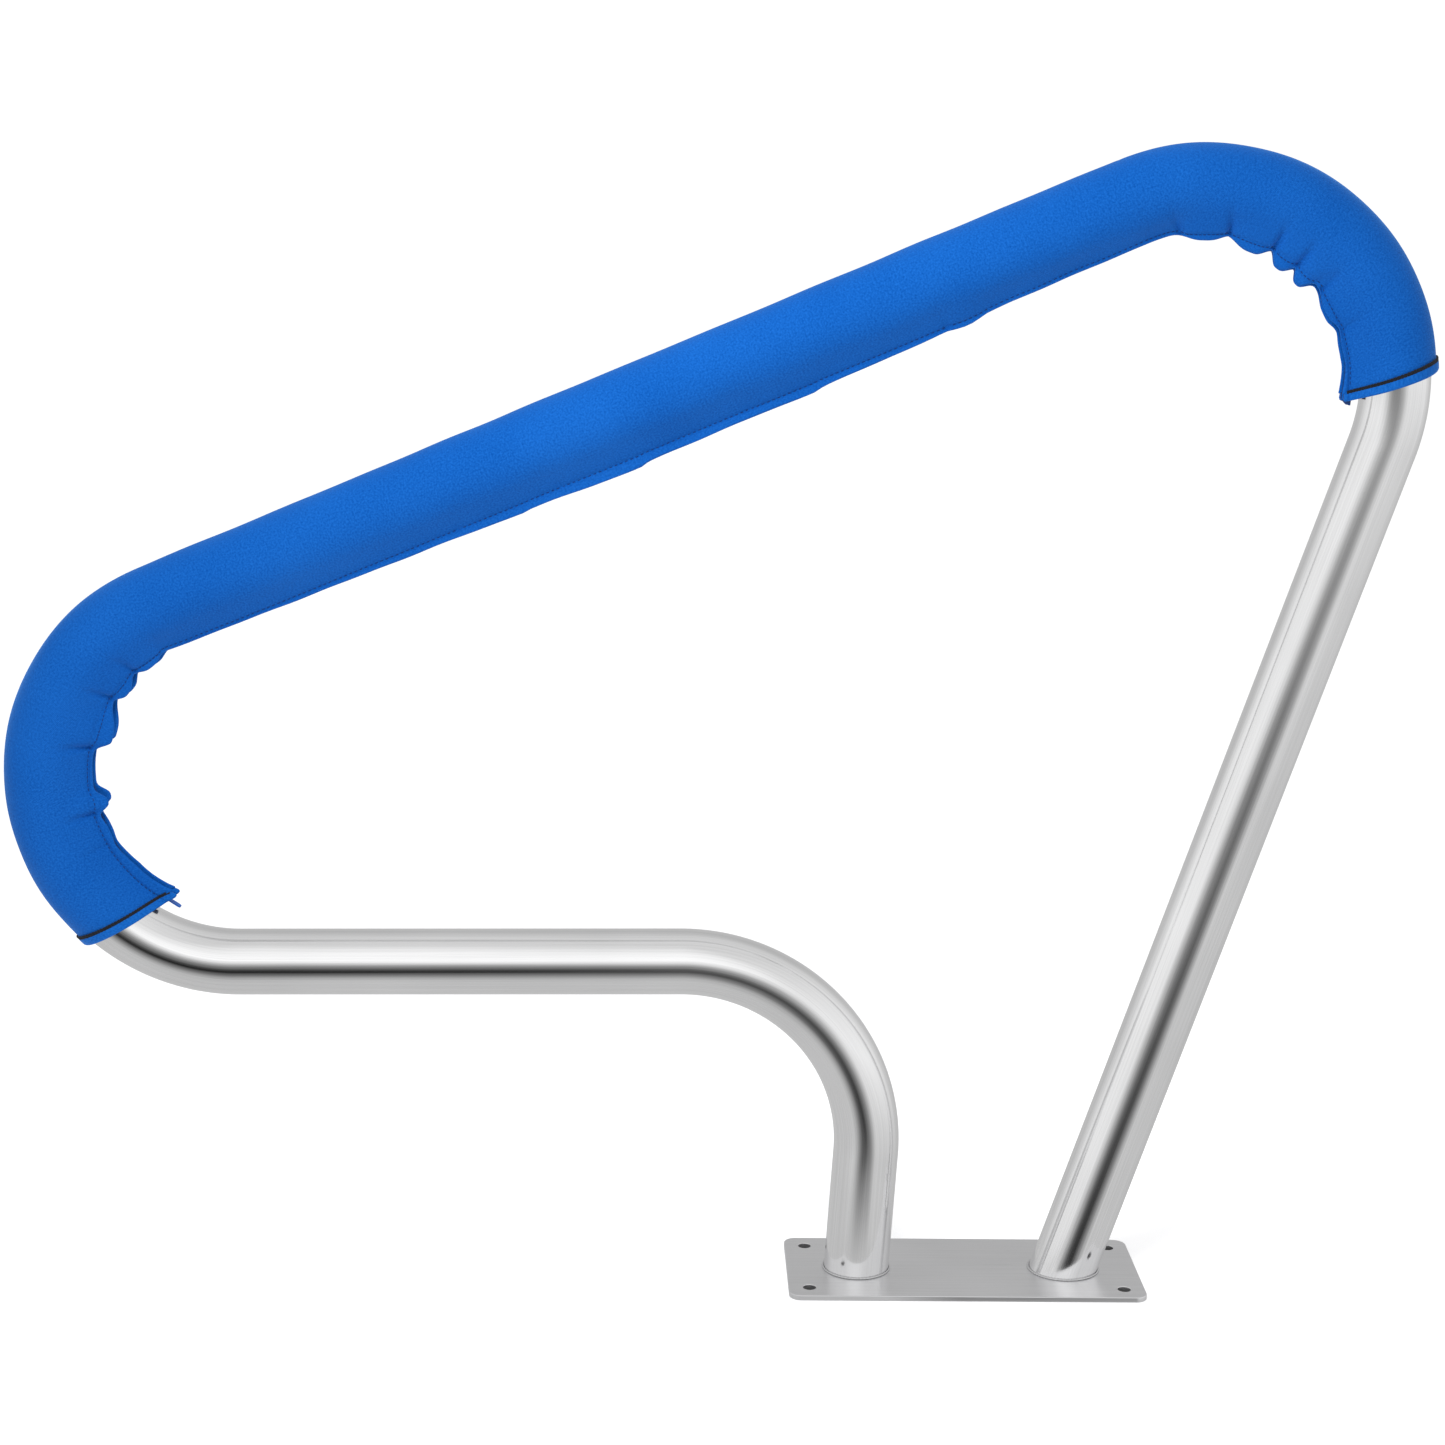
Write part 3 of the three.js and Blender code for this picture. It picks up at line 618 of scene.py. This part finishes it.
def lean_at(mark):
    """The lean of the fabric's cross section, which is full at the sleeve's ends and dies away from them."""
    near_lower = np.clip(1 - (mark - SLEEVE_START) / LEAN_FADE, 0, None)
    near_upper = np.clip(1 - (SLEEVE_END - mark) / LEAN_FADE, 0, None)
    return UPPER_LEAN * near_upper - LOWER_LEAN * near_lower


def leaning(mark, depth):
    """The distance along the rail at which the leaning cut through a mark meets a depth."""
    lean = lean_at(mark)
    radius = BEND_RADIUS - depth
    reach = BEND_RADIUS * np.cos(lean) - np.sqrt(radius**2 - (BEND_RADIUS * np.sin(lean)) ** 2)
    return mark + BEND_RADIUS * np.arcsin(reach * np.sin(lean) / radius)


ARC_POINTS, SIDE_POINTS, LIP_POINTS = 34, 14, 15  # of one half of the fabric's outer face
BACK_SHIFT = 3.0 * MM  # of the back lip's folds against the front lip's
ROOT_CLEARANCE = 1.5 * MM  # of a lip's root from its edge, at least
INNER_ROOT_STEP = 1.6 * MM
ROOT_PUFF, FACE_PUFF, EDGE_PUFF = 0.25, 0.22, 0.06  # how far a bulge moves a lip's root, face and edge


def half_outline(seam, side, radius, lip_face, edge_inset, counts):
    """Half a face of the fabric, from behind the tube to the lip's edge, as (front, depth) for each mark."""
    n_arc, n_side, n_lip = counts
    shift = 0.0 if side > 0 else BACK_SHIFT
    outside = radius == SLEEVE_RADIUS
    bulge = lip_bulge(seam, shift) * (1 if outside else 0)
    edge = lip_depth(seam, shift) - edge_inset
    root = np.minimum(ROOT_DEPTH, edge - ROOT_CLEARANCE) + ROOT_PUFF * bulge
    root = root - (0 if outside else INNER_ROOT_STEP)
    face = np.full_like(seam, lip_face)
    reach = np.hypot(face, root)
    tangent = np.arctan2(face, root) + np.arccos(radius / reach)
    angle = math.pi + (tangent[:, None] - math.pi) * np.linspace(0, 1, n_arc)[None]
    arc = radius * np.stack([np.sin(angle), np.cos(angle)], -1)
    corner = np.stack([face + FACE_PUFF * bulge, root], -1)[:, None]
    share = np.linspace(0, 1, n_side + 1)[1:, None]
    flank = arc[:, -1:] + (corner - arc[:, -1:]) * share
    curl = np.stack([face + EDGE_PUFF * bulge, edge], -1)[:, None]
    lip = corner + (curl - corner) * np.linspace(0, 1, n_lip + 1)[1:, None]
    half = np.concatenate([arc, flank, lip], axis=1)
    for _ in range(3):
        half[:, 1:-1] = (half[:, :-2] + 2 * half[:, 1:-1] + half[:, 2:]) / 4
    return half * np.array([side, 1])


def face_outline(seam, radius, lip_face, edge_inset, counts):
    """A whole face of the fabric, from the back lip's edge round the tube to the front lip's."""
    back = half_outline(seam, -1, radius, lip_face, edge_inset, counts)
    front = half_outline(seam, 1, radius, lip_face, edge_inset, counts)
    return np.concatenate([back[:, ::-1], front[:, 1:]], axis=1)


def outward(outline):
    """Unit normals of outlines, in their own planes."""
    along = np.gradient(outline, axis=1)
    normal = np.stack([along[..., 1], -along[..., 0]], -1)
    return normal / np.linalg.norm(normal, axis=-1, keepdims=True)


RIDGE_HEIGHT, VALLEY_DEPTH = 1.1 * MM, 3.0 * MM  # of the fold under a bulge 12 mm high
WAVE_HEIGHT, RIPPLE_IN_FABRIC = 0.22 * MM, 0.14 * MM
SEAM_GROOVE, SEAM_GROOVE_AT = 0.75 * MM, 0.9 * MM  # its depth, and its place beyond the lip's root
JOIN_GROOVE, JOIN_WIDTH = 0.3 * MM, 0.9 * MM


def creases(seam, outline):
    """Height of the outer face over its smooth form: folds that fan out from the seam, and soft waviness."""
    front, depth = outline[..., 0], outline[..., 1]
    seam = seam[:, None]
    from_back = np.arctan2(np.abs(front), -depth)  # 0 behind the tube, pi at the seam
    near_seam = smooth_step((from_back - 1.8) / 1.1)
    on_lip = smooth_step((depth - ROOT_DEPTH) / (3 * MM))
    height = 0
    for place, bulge, before, after in FOLDS:
        fan = 0.35 * (math.pi - from_back) * before * MM
        width = 1.9 * MM + 2.2 * MM * (math.pi - from_back)
        valley = bell(seam - place + before * 1.1 * MM + fan, width)
        ridge = bell(seam - place + fan, 2.6 * width + before * 0.6 * MM)
        depth_of_fold = math.sqrt(bulge / 12) * near_seam * (1 - 0.75 * on_lip)
        height = height + depth_of_fold * (RIDGE_HEIGHT * ridge - VALLEY_DEPTH * valley)
    loose = WAVE_HEIGHT * np.sin(seam / (23 * MM) + 2.2 * from_back) * np.sin(seam / (41 * MM) - from_back)
    wander = 0.8 * np.sin(seam / (67 * MM))
    loose = loose + RIPPLE_IN_FABRIC * np.sin(seam / (11 * MM) + 4.1 * from_back + wander)
    stitched = bell(depth - ROOT_DEPTH - SEAM_GROOVE_AT, 1.0 * MM)
    joins = sum(bell(seam - place, JOIN_WIDTH) for place in PANEL_JOINS)
    return height + loose - SEAM_GROOVE * stitched - JOIN_GROOVE * joins


OUTER_COUNTS = (ARC_POINTS, SIDE_POINTS, LIP_POINTS)
INNER_COUNTS = (14, 4, 3)


def outer_face(marks, lift=0.0, cut_back=0.0):
    """(outline, seam distances) of the fabric's outer face, raised by lift, with its lips cut back."""
    seam = leaning(marks, ROOT_DEPTH)
    outline = face_outline(seam, SLEEVE_RADIUS, LIP_FRONT, LIP_THICKNESS / 2 + cut_back, OUTER_COUNTS)
    return outline + outward(outline) * (creases(seam, outline) + lift)[..., None], seam


def bent_onto_rail(marks, outline):
    """The points in space of outlines that lean with the sleeve's ends."""
    front, depth = outline[..., 0], outline[..., 1]
    return on_rail(leaning(marks[:, None], depth), front, depth)


def lip_tip(seam, side):
    """The rounded edge between a lip's two faces."""
    half = LIP_THICKNESS / 2
    shift = 0.0 if side > 0 else BACK_SHIFT
    bulge = lip_bulge(seam, shift)
    turn = np.array([0.2, 0.5, 0.8]) * math.pi
    front = side * (LIP_FRONT - half + EDGE_PUFF * bulge[:, None] + half * np.cos(turn))
    depth = lip_depth(seam, shift)[:, None] - half + half * np.sin(turn)
    tip = np.stack([front, depth], -1)
    return tip if side > 0 else tip[:, ::-1]


def make_sleeve():
    under_hem = HEM_WIDTH - 1 * MM
    marks = steps(loop_spacings(1.7 * MM, 6 * MM), SLEEVE_START + under_hem, SLEEVE_END - under_hem)
    outline, seam = outer_face(marks)
    lip_inside = LIP_FRONT - LIP_THICKNESS
    inside = face_outline(seam, SLEEVE_RADIUS - FABRIC, lip_inside, LIP_THICKNESS / 2, INNER_COUNTS)
    ring = np.concatenate([outline, lip_tip(seam, 1), inside[:, ::-1], lip_tip(seam, -1)], axis=1)
    rows = bent_onto_rail(marks, ring)
    middle = ring[len(ring) // 2]
    around = lengths_along(np.concatenate([middle, middle[:1]]))
    mesh = grid_mesh("sleeve", rows, around, marks, close_u=True, cap=True)
    return finish_object("sleeve", mesh, NEOPRENE, "rail", ["cover_sleeve"])


def hem_section():
    """The folded hem's section as (distance from the sleeve's end, height over the fabric's face)."""
    thick = (FABRIC + HEM_STEP) / 2
    fold = np.linspace(-math.pi / 2, -3 * math.pi / 2, 11)
    points = [(HEM_WIDTH, -FABRIC), (HEM_WIDTH / 2, -FABRIC)]
    points += [(thick + thick * math.cos(a), HEM_STEP - thick + thick * math.sin(a)) for a in fold]
    points += [(HEM_WIDTH * 0.45, HEM_STEP), (HEM_WIDTH * 0.66, HEM_STEP - 0.05 * MM)]
    points += [(HEM_WIDTH * 0.76, HEM_STEP - 0.3 * MM), (HEM_WIDTH * 0.84, 0.35 * MM)]
    points += [(HEM_WIDTH * 0.93, 0.3 * MM), (HEM_WIDTH, 0.1 * MM)]
    return points


def make_hem(name, end, way, node):
    """A hem at one end of the sleeve. Way is 1 at the lower end and -1 at the upper, where it runs back."""
    section = hem_section()
    lines = []
    for from_end, height in section:
        mark = np.array([end + way * from_end])
        near_end = np.clip(1 - from_end / HEM_CORNER, 0, 1)
        outline, _ = outer_face(mark, 0.0, HEM_CORNER * (1 - math.sqrt(1 - near_end**2)))
        run = lengths_along(outline[0])
        to_tip = np.minimum(run, run[-1] - run)
        round_off = np.sqrt(np.clip(1 - np.clip(1 - to_tip / TIP_ROUND, 0, 1) ** 2, 0.02, 1))
        on_lip = smooth_step((outline[0, :, 1] - ROOT_DEPTH + 4 * MM) / (4 * MM))
        thickness = FABRIC + (LIP_THICKNESS - FABRIC) * on_lip
        middle = (HEM_STEP - thickness) / 2
        scaled = height if height > 0 else height * thickness / FABRIC
        lift = middle + (scaled - middle) * round_off
        lines.append(bent_onto_rail(mark, outline + outward(outline) * lift[None, :, None])[0])
    rows = np.array(lines).transpose(1, 0, 2)
    if way < 0:
        rows = rows[:, ::-1]
    around = lengths_along(np.array(section + section[:1]))
    mesh = grid_mesh(name, rows, around, lengths_along(rows[:, 0]), close_u=True, cap=True)
    return finish_object(name, mesh, HEM_KNIT, "rail", [node])


def along_outline(mark, lift, spacing, inset):
    """Points and directions at equal steps round the fabric's outer face at one mark."""
    marks = np.array([mark])
    outline, _ = outer_face(marks, lift)
    line = bent_onto_rail(marks, outline)[0]
    run = lengths_along(line)
    places = np.arange(inset, run[-1] - inset, spacing)
    points = np.stack([np.interp(places, run, line[:, k]) for k in range(3)], -1)
    ahead = np.stack([np.interp(places + AHEAD, run, line[:, k]) for k in range(3)], -1)
    return points, ahead - points


def make_hem_stitches(name, end, way):
    """Cover stitch: two rows of needle thread and the looper thread that crosses between them."""
    row_gap, stitch, thickness = 1.6 * MM, 2.4 * MM, 1.3 * MM
    lift, inset = 0.95 * MM, 1.2 * MM
    middle = end + way * (HEM_WIDTH * 0.88)
    a, a_ways = along_outline(middle - 0.5 * row_gap, lift, stitch, inset)
    b, b_ways = along_outline(middle + 0.5 * row_gap, lift, stitch, inset)
    count = min(len(a), len(b)) - 1
    start, level, onward = a[:count], b[:count], b[1 : count + 1]
    places = np.concatenate([a, b, (start + level) / 2, (start + onward) / 2])
    ways = np.concatenate([a_ways, b_ways, level - start, onward - start])
    outward_way = places - on_rail(np.full(len(places), middle), 0 * places[:, 0], 0 * places[:, 0])
    across = np.cross(outward_way, ways)
    mesh = scatter_mesh(name, bead(stitch, thickness, thickness), places, ways, across)
    return finish_object(name, mesh, BLACK_THREAD, "rail")


def make_lip_stitches(name, side):
    """The straight stitch that holds a lip to the zipper's tape."""
    pitch, lift = 4.0 * MM, 0.15 * MM
    marks = np.arange(SLEEVE_START + HEM_WIDTH + pitch, SLEEVE_END - HEM_WIDTH - pitch, pitch)
    outline, _ = outer_face(marks, lift)
    ahead, _ = outer_face(marks + AHEAD, lift)
    half = len(outline[0]) // 2
    column = half + side * (ARC_POINTS - 1 + SIDE_POINTS + 2)
    places = bent_onto_rail(marks, outline)[:, column]
    ways = bent_onto_rail(marks + AHEAD, ahead)[:, column] - places
    across = np.tile([0.0, 0.0, 1.0], (len(places), 1))
    mesh = scatter_mesh(name, bead(2.2 * MM, 0.6 * MM, 0.5 * MM), places, ways, across)
    return finish_object(name, mesh, BLUE_THREAD, "rail")


# ---- Zipper: woven tapes, interlocking teeth and the CAD's own slider, pull, stops, pin and box ----
TAPE_FACE = 3.5 * MM  # from the middle to the inside of a lip
TAPE = 0.5 * MM
TAPE_HOLD = 6.2 * MM  # how far a tape runs along its lip
TAPE_TAIL = 5 * MM
TOOTH_PITCH = 1.8 * MM
TAPE_SHORT = 2.0 * MM  # how far a tape ends short of its lip's edge
TOOTH_CENTRE = 0.75 * MM
TOOTH_SIZE = (2.2 * MM, 0.78 * MM, 1.7 * MM)
FIRST_TOOTH, LAST_TOOTH = 5.9 * MM, 10.3 * MM  # from the sleeve's ends, past the box and the slider
CHAIN_PACE = BEND_RADIUS / (BEND_RADIUS - CHAIN_DEPTH)
CHAIN_START = float(leaning(SLEEVE_START, CHAIN_DEPTH))
CHAIN_END = float(leaning(SLEEVE_END, CHAIN_DEPTH))


def make_tape(end, side):
    """An L-shaped strip: out from its teeth, then along the inside of its lip."""
    edge, low = 0.2 * MM, CHAIN_DEPTH - TAPE / 2
    turn = np.linspace(0, math.pi / 2, 6)
    outer, inner = 1.0 * MM, 0.5 * MM
    centre_x, centre_y = TAPE_FACE + TAPE - outer, low + outer
    points = [(edge, low)]
    points += [(centre_x + outer * math.sin(a), centre_y - outer * math.cos(a)) for a in turn]
    points += [(TAPE_FACE + TAPE, low + TAPE_HOLD), (TAPE_FACE, low + TAPE_HOLD)]
    points += [(centre_x + inner * math.sin(a), centre_y - inner * math.cos(a)) for a in turn[::-1]]
    points += [(edge, low + TAPE)]
    section = np.array(points) * np.array([side, 1])
    if side < 0:
        section = section[::-1]
    marks = steps(loop_spacings(5 * MM, 12 * MM), CHAIN_START, CHAIN_END + TAPE_TAIL)
    tail = smooth_step((marks - CHAIN_END) / TAPE_TAIL)
    covered = (lip_depth(marks) - TAPE_SHORT - low) / TAPE_HOLD
    width = np.clip(covered, 0.15, 1) * (1 - 0.75 * tail)
    front = section[None, :, 0] + 0 * width[:, None]
    rows = on_rail(marks[:, None], front, low + (section[None, :, 1] - low) * width[:, None])
    around = lengths_along(np.concatenate([section, section[:1]]))
    mesh = grid_mesh("tape_" + end, rows, around, marks, close_u=True, cap=True)
    return finish_object("tape_" + end, mesh, TAPE_WEAVE, "rail", ["zipper_tape_" + end])


def make_teeth(end, side):
    """Moulded teeth that reach past the middle, between those of the other row."""
    start = CHAIN_START + CHAIN_PACE * FIRST_TOOTH
    stop = CHAIN_END - CHAIN_PACE * LAST_TOOTH
    marks = np.arange(start, stop, TOOTH_PITCH) + (TOOTH_PITCH / 2 if side > 0 else 0)
    marks = marks[marks < stop - TOOTH_PITCH / 2]
    centre = side * TOOTH_CENTRE
    places = on_rail(marks, centre + 0 * marks, CHAIN_DEPTH + 0 * marks)
    ways = np.tile([0.0, -1.0, 0.0], (len(marks), 1))
    across = on_rail(marks + AHEAD, centre + 0 * marks, CHAIN_DEPTH + 0 * marks) - places
    mesh = scatter_mesh("teeth_" + end, bead(*TOOTH_SIZE), places, ways, across)
    return finish_object("teeth_" + end, mesh, ZIP_PLASTIC, "rail", ["zipper_row_" + end])


def finish_cad_piece(node, material, width=0.18 * MM):
    """A CAD piece that keeps its shape, with softened edges and its own material."""
    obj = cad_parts[node]
    obj.data.materials.clear()
    obj.data.materials.append(material)
    bevel = obj.modifiers.new("soft_edges", "BEVEL")
    bevel.width = width
    bevel.segments = 2
    bevel.limit_method = "ANGLE"
    bevel.angle_limit = math.radians(30)


# ---- Build ----
tube = make_tube()
make_plate()
make_weld("weld_bead_left", LEFT_FOOT, LEG_UP, "weld_left_leg")
make_weld("weld_bead_right", RIGHT_FOOT, LEG_DOWN, "weld_right_leg")

sleeve = make_sleeve()
on_sleeve = [
    make_hem("hem_lower", SLEEVE_START, 1, "cover_hem_lower"),
    make_hem("hem_upper", SLEEVE_END, -1, "cover_hem_upper"),
    make_hem_stitches("hem_stitches_lower", SLEEVE_START, 1),
    make_hem_stitches("hem_stitches_upper", SLEEVE_END, -1),
]
for end, side in (("front", 1), ("back", -1)):
    on_sleeve.append(make_lip_stitches("lip_stitches_" + end, side))
    on_sleeve.append(make_tape(end, side))
    on_sleeve.append(make_teeth(end, side))
    finish_cad_piece("zipper_top_stop_" + end, ZIP_PLASTIC)
for node in ("zipper_insertion_pin", "zipper_retainer_box", "zipper_slider"):
    finish_cad_piece(node, ZIP_PLASTIC)
finish_cad_piece("zipper_pull", PULL_PLASTIC, 0.3 * MM)
for piece in [sleeve, *on_sleeve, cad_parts["zipper_pull"]]:
    piece.visible_glossy = False  # keeps stray blue lines off the polished legs


# ---- Studio ----
WHITE = (1, 1, 1, 1)
BLACK = (0, 0, 0, 1)
FLOOR_HALF_SIZE = 14.0
FLOOR_GLOW = 0.33
EVEN_LIGHT = 0.52
BACKDROP_LIGHT = 1.05
CARD_X, CARD_Y = (-0.95, 0.0), (-0.62, 0.30)
CARD_GLOW = 0.56
CARD_FADES = [("Y", -0.34, -0.05), ("X", -0.005, -0.06)]  # where the card is clear and where full, by axis
CARD_LIFT, GROUND_LIFT = 0.1 * MM, 0.15 * MM
GROUND_INSET = 6 * MM  # of the painted-shade sheet from the plate's edges

# Levels of the light tent in front, at the sides and behind, by degrees over the horizon.
FRONT_TENT = [
    (-90, 0.64), (-60, 0.56), (-48, 0.36), (-28, 0.10), (-21, 0.0), (-14, 0.06), (0, 0.32), (10, 0.80),
    (17, 1.1), (62, 1.05), (90, 0.70),
]
SIDE_TENT = [
    (-90, 0.60), (-40, 0.58), (-24, 0.62), (-8, 0.80), (6, 0.92), (30, 0.85), (60, 0.72), (90, 0.70),
]
BACK_TENT = [(-90, 0.58), (-30, 0.52), (0, 0.56), (40, 0.50), (70, 0.56), (90, 0.70)]
# How much of the front and back levels there is, by how far a direction points to the front or back.
FRONT_SHARE = [(0.0, 0.0), (0.15, 0.0), (0.35, 0.35), (0.60, 0.75), (0.82, 1.0)]
BACK_SHARE = [(0.0, 0.0), (0.15, 0.0), (0.75, 1.0)]
FRONT_TO_LEFT = 0.19  # how far to the left of straight ahead the front levels have their middle


def flat_sheet(name, x, y, z, material):
    """A level sheet between two values of x and two of y."""
    corners = [(x[0], y[0], z), (x[1], y[0], z), (x[1], y[1], z), (x[0], y[1], z)]
    mesh = bpy.data.meshes.new(name)
    mesh.from_pydata(corners, [], [(0, 1, 2, 3)])
    mesh.materials.append(material)
    sheet = bpy.data.objects.new(name, mesh)
    bpy.context.scene.collection.objects.link(sheet)
    return sheet


def make_floor():
    """A white floor that glows a little, and so ends in the white of the backdrop with no horizon."""
    nodes = Nodes("floor_paint", Roughness=0.9, Specular_IOR_Level=0.1, Emission_Strength=FLOOR_GLOW)
    nodes.shader.inputs["Emission Color"].default_value = WHITE
    grain = nodes.noise(nodes.coordinates((3, 3, 3), "Object"), 1.0, detail=2.0)
    paint = nodes.colours(grain, (0.3, (0.875, 0.875, 0.878)), (0.7, (0.885, 0.885, 0.887)))
    nodes.drive("Base Color", paint)
    extent = (-FLOOR_HALF_SIZE, FLOOR_HALF_SIZE)
    floor = flat_sheet("floor", extent, extent, 0, nodes.material)
    floor.visible_glossy = False


def make_under_plate():
    """A dark sheet of painted shade under the plate, seen only through its bolt holes."""
    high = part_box("base_plate")[1]
    x, y = high.x - GROUND_INSET, high.y - GROUND_INSET
    # Painted shade: a dark grey colour stands in for the shadow under the plate.
    painted_shade = moulded("painted_shade_ground", (0.06, 0.06, 0.06), (0.09, 0.09, 0.09), 0.9)
    ground = flat_sheet("under_plate", (-x, x), (-y, y), GROUND_LIFT, painted_shade)


def make_bounce_card():
    """A card on the floor that only reflections see. It lights the left leg's foot, and fades out ahead."""
    nodes = Nodes("bounce_card", Roughness=1.0, Emission_Strength=CARD_GLOW)
    nodes.shader.inputs["Emission Color"].default_value = WHITE
    nodes.shader.inputs["Base Color"].default_value = BLACK
    place = nodes.add("ShaderNodeSeparateXYZ", [("Vector", nodes.coordinates((1, 1, 1), "Object"))]).outputs
    fades = []
    for axis, clear, full in CARD_FADES:
        fade = nodes.add("ShaderNodeMapRange", [("Value", place[axis])])
        fade.inputs["From Min"].default_value = clear
        fade.inputs["From Max"].default_value = full
        fades.append(fade.outputs["Result"])
    nodes.drive("Alpha", nodes.calc("MULTIPLY", *fades))
    card = flat_sheet("bounce_card", CARD_X, CARD_Y, CARD_LIFT, nodes.material)
    card.visible_camera = card.visible_diffuse = card.visible_shadow = card.visible_transmission = False


def tent_light(nodes):
    """The light tent's colour in each direction, for reflections. Low down in front it has a dark gap."""
    way = nodes.add("ShaderNodeTexCoord").outputs["Generated"]
    axes = nodes.add("ShaderNodeSeparateXYZ", [("Vector", way)]).outputs
    ahead = nodes.calc("MULTIPLY", axes["Y"], -1.0)
    to_side = nodes.calc("ABSOLUTE", nodes.calc("ADD", axes["X"], FRONT_TO_LEFT))
    # The height as a share, from 0 straight down to 1 straight up.
    height = nodes.calc("DIVIDE", nodes.calc("ADD", nodes.calc("ARCSINE", axes["Z"]), math.pi / 2), math.pi)

    def levels(factor, stops):
        return nodes.colours(factor, *((position, (level, level, level)) for position, level in stops))

    def levels_by_height(stops):
        return levels(height, [((degrees + 90) / 180, level) for degrees, level in stops])

    def mixed(factor, a, b):
        return nodes.add("ShaderNodeMixRGB", enumerate((factor, a, b))).outputs["Color"]

    in_front = levels(nodes.calc("SUBTRACT", ahead, to_side), FRONT_SHARE)
    behind = levels(nodes.calc("MULTIPLY", ahead, -1.0), BACK_SHARE)
    front_half = mixed(in_front, levels_by_height(SIDE_TENT), levels_by_height(FRONT_TENT))
    return mixed(behind, front_half, levels_by_height(BACK_TENT))


def make_world():
    """A pale backdrop for the camera, the light tent for reflections, and even soft light for the rest."""
    world = bpy.data.worlds.new("studio")
    bpy.context.scene.world = world
    world.use_nodes = True
    world.node_tree.nodes.clear()
    nodes = Tree(world.node_tree)

    def choose(factor, a, b):
        return nodes.add("ShaderNodeMixShader", enumerate((factor, a, b))).outputs[0]

    reflected = nodes.add("ShaderNodeBackground", [("Color", tent_light(nodes))], Strength=1.0).outputs[0]
    even = nodes.add("ShaderNodeBackground", Color=WHITE, Strength=EVEN_LIGHT).outputs[0]
    backdrop = nodes.add("ShaderNodeBackground", Color=WHITE, Strength=BACKDROP_LIGHT).outputs[0]
    rays = nodes.add("ShaderNodeLightPath").outputs
    lit = choose(rays["Is Glossy Ray"], even, reflected)
    seen = choose(rays["Is Camera Ray"], lit, backdrop)
    nodes.add("ShaderNodeOutputWorld", [("Surface", seen)])


def make_sun(name, towards, softness, strength):
    """A wide, soft sun, so that the light is even over the floor. Towards is the way to it."""
    light = bpy.data.lights.new(name, "SUN")
    light.energy = strength
    light.angle = math.radians(softness)
    obj = bpy.data.objects.new(name, light)
    obj.rotation_euler = Vector(towards).to_track_quat("Z", "Y").to_euler()
    obj.visible_glossy = False
    bpy.context.scene.collection.objects.link(obj)


def make_lamp(name, location, target, size, power):
    """A round soft box near the rail, for the brighter middle of the sleeve."""
    light = bpy.data.lights.new(name, "AREA")
    light.shape = "DISK"
    light.size = size
    light.energy = power
    obj = bpy.data.objects.new(name, light)
    obj.location = location
    obj.rotation_euler = (Vector(location) - Vector(target)).to_track_quat("Z", "Y").to_euler()
    obj.visible_glossy = False
    bpy.context.scene.collection.objects.link(obj)


# The camera: its place in metres and its angles in degrees. Its focal length and the centre of the view are
# shares of the frame's width.
CAMERA_AT = (-0.21937, -1.80723, 0.77659)
CAMERA_PITCH, CAMERA_YAW, CAMERA_ROLL = 11.185, -0.078, 0.348
FOCAL_SHARE = 1.76697
CENTRE_RIGHT, CENTRE_DOWN = 0.46351, 0.50100


def make_camera():
    """The photo's camera."""
    data = bpy.data.cameras.new("camera")
    data.sensor_width = 36  # mm
    data.lens = FOCAL_SHARE * data.sensor_width
    data.shift_x = 0.5 - CENTRE_RIGHT
    data.shift_y = CENTRE_DOWN - 0.5
    camera = bpy.data.objects.new("camera", data)
    camera.location = CAMERA_AT
    pitch, yaw, roll = (math.radians(a) for a in (CAMERA_PITCH, CAMERA_YAW, CAMERA_ROLL))
    ahead = Vector((math.sin(yaw) * math.cos(pitch), math.cos(yaw) * math.cos(pitch), -math.sin(pitch)))
    camera.rotation_mode = "QUATERNION"
    turned = ahead.to_track_quat("-Z", "Y").to_matrix().to_4x4()
    camera.rotation_quaternion = (turned @ Matrix.Rotation(roll, 4, "Z")).to_quaternion()
    bpy.context.scene.collection.objects.link(camera)
    bpy.context.scene.camera = camera


make_floor()
make_under_plate()
make_bounce_card()
make_world()
make_sun("fill", towards=(-0.4, -1.0, 1.3), softness=60, strength=0.55)
make_sun("rim", towards=(0.2, 0.8, 1.4), softness=60, strength=0.60)
make_lamp("key", location=(-0.35, -0.70, 1.20), target=(-0.25, 0, 0.66), size=0.5, power=7)
make_camera()
bpy.context.scene.view_settings.view_transform = "Standard"
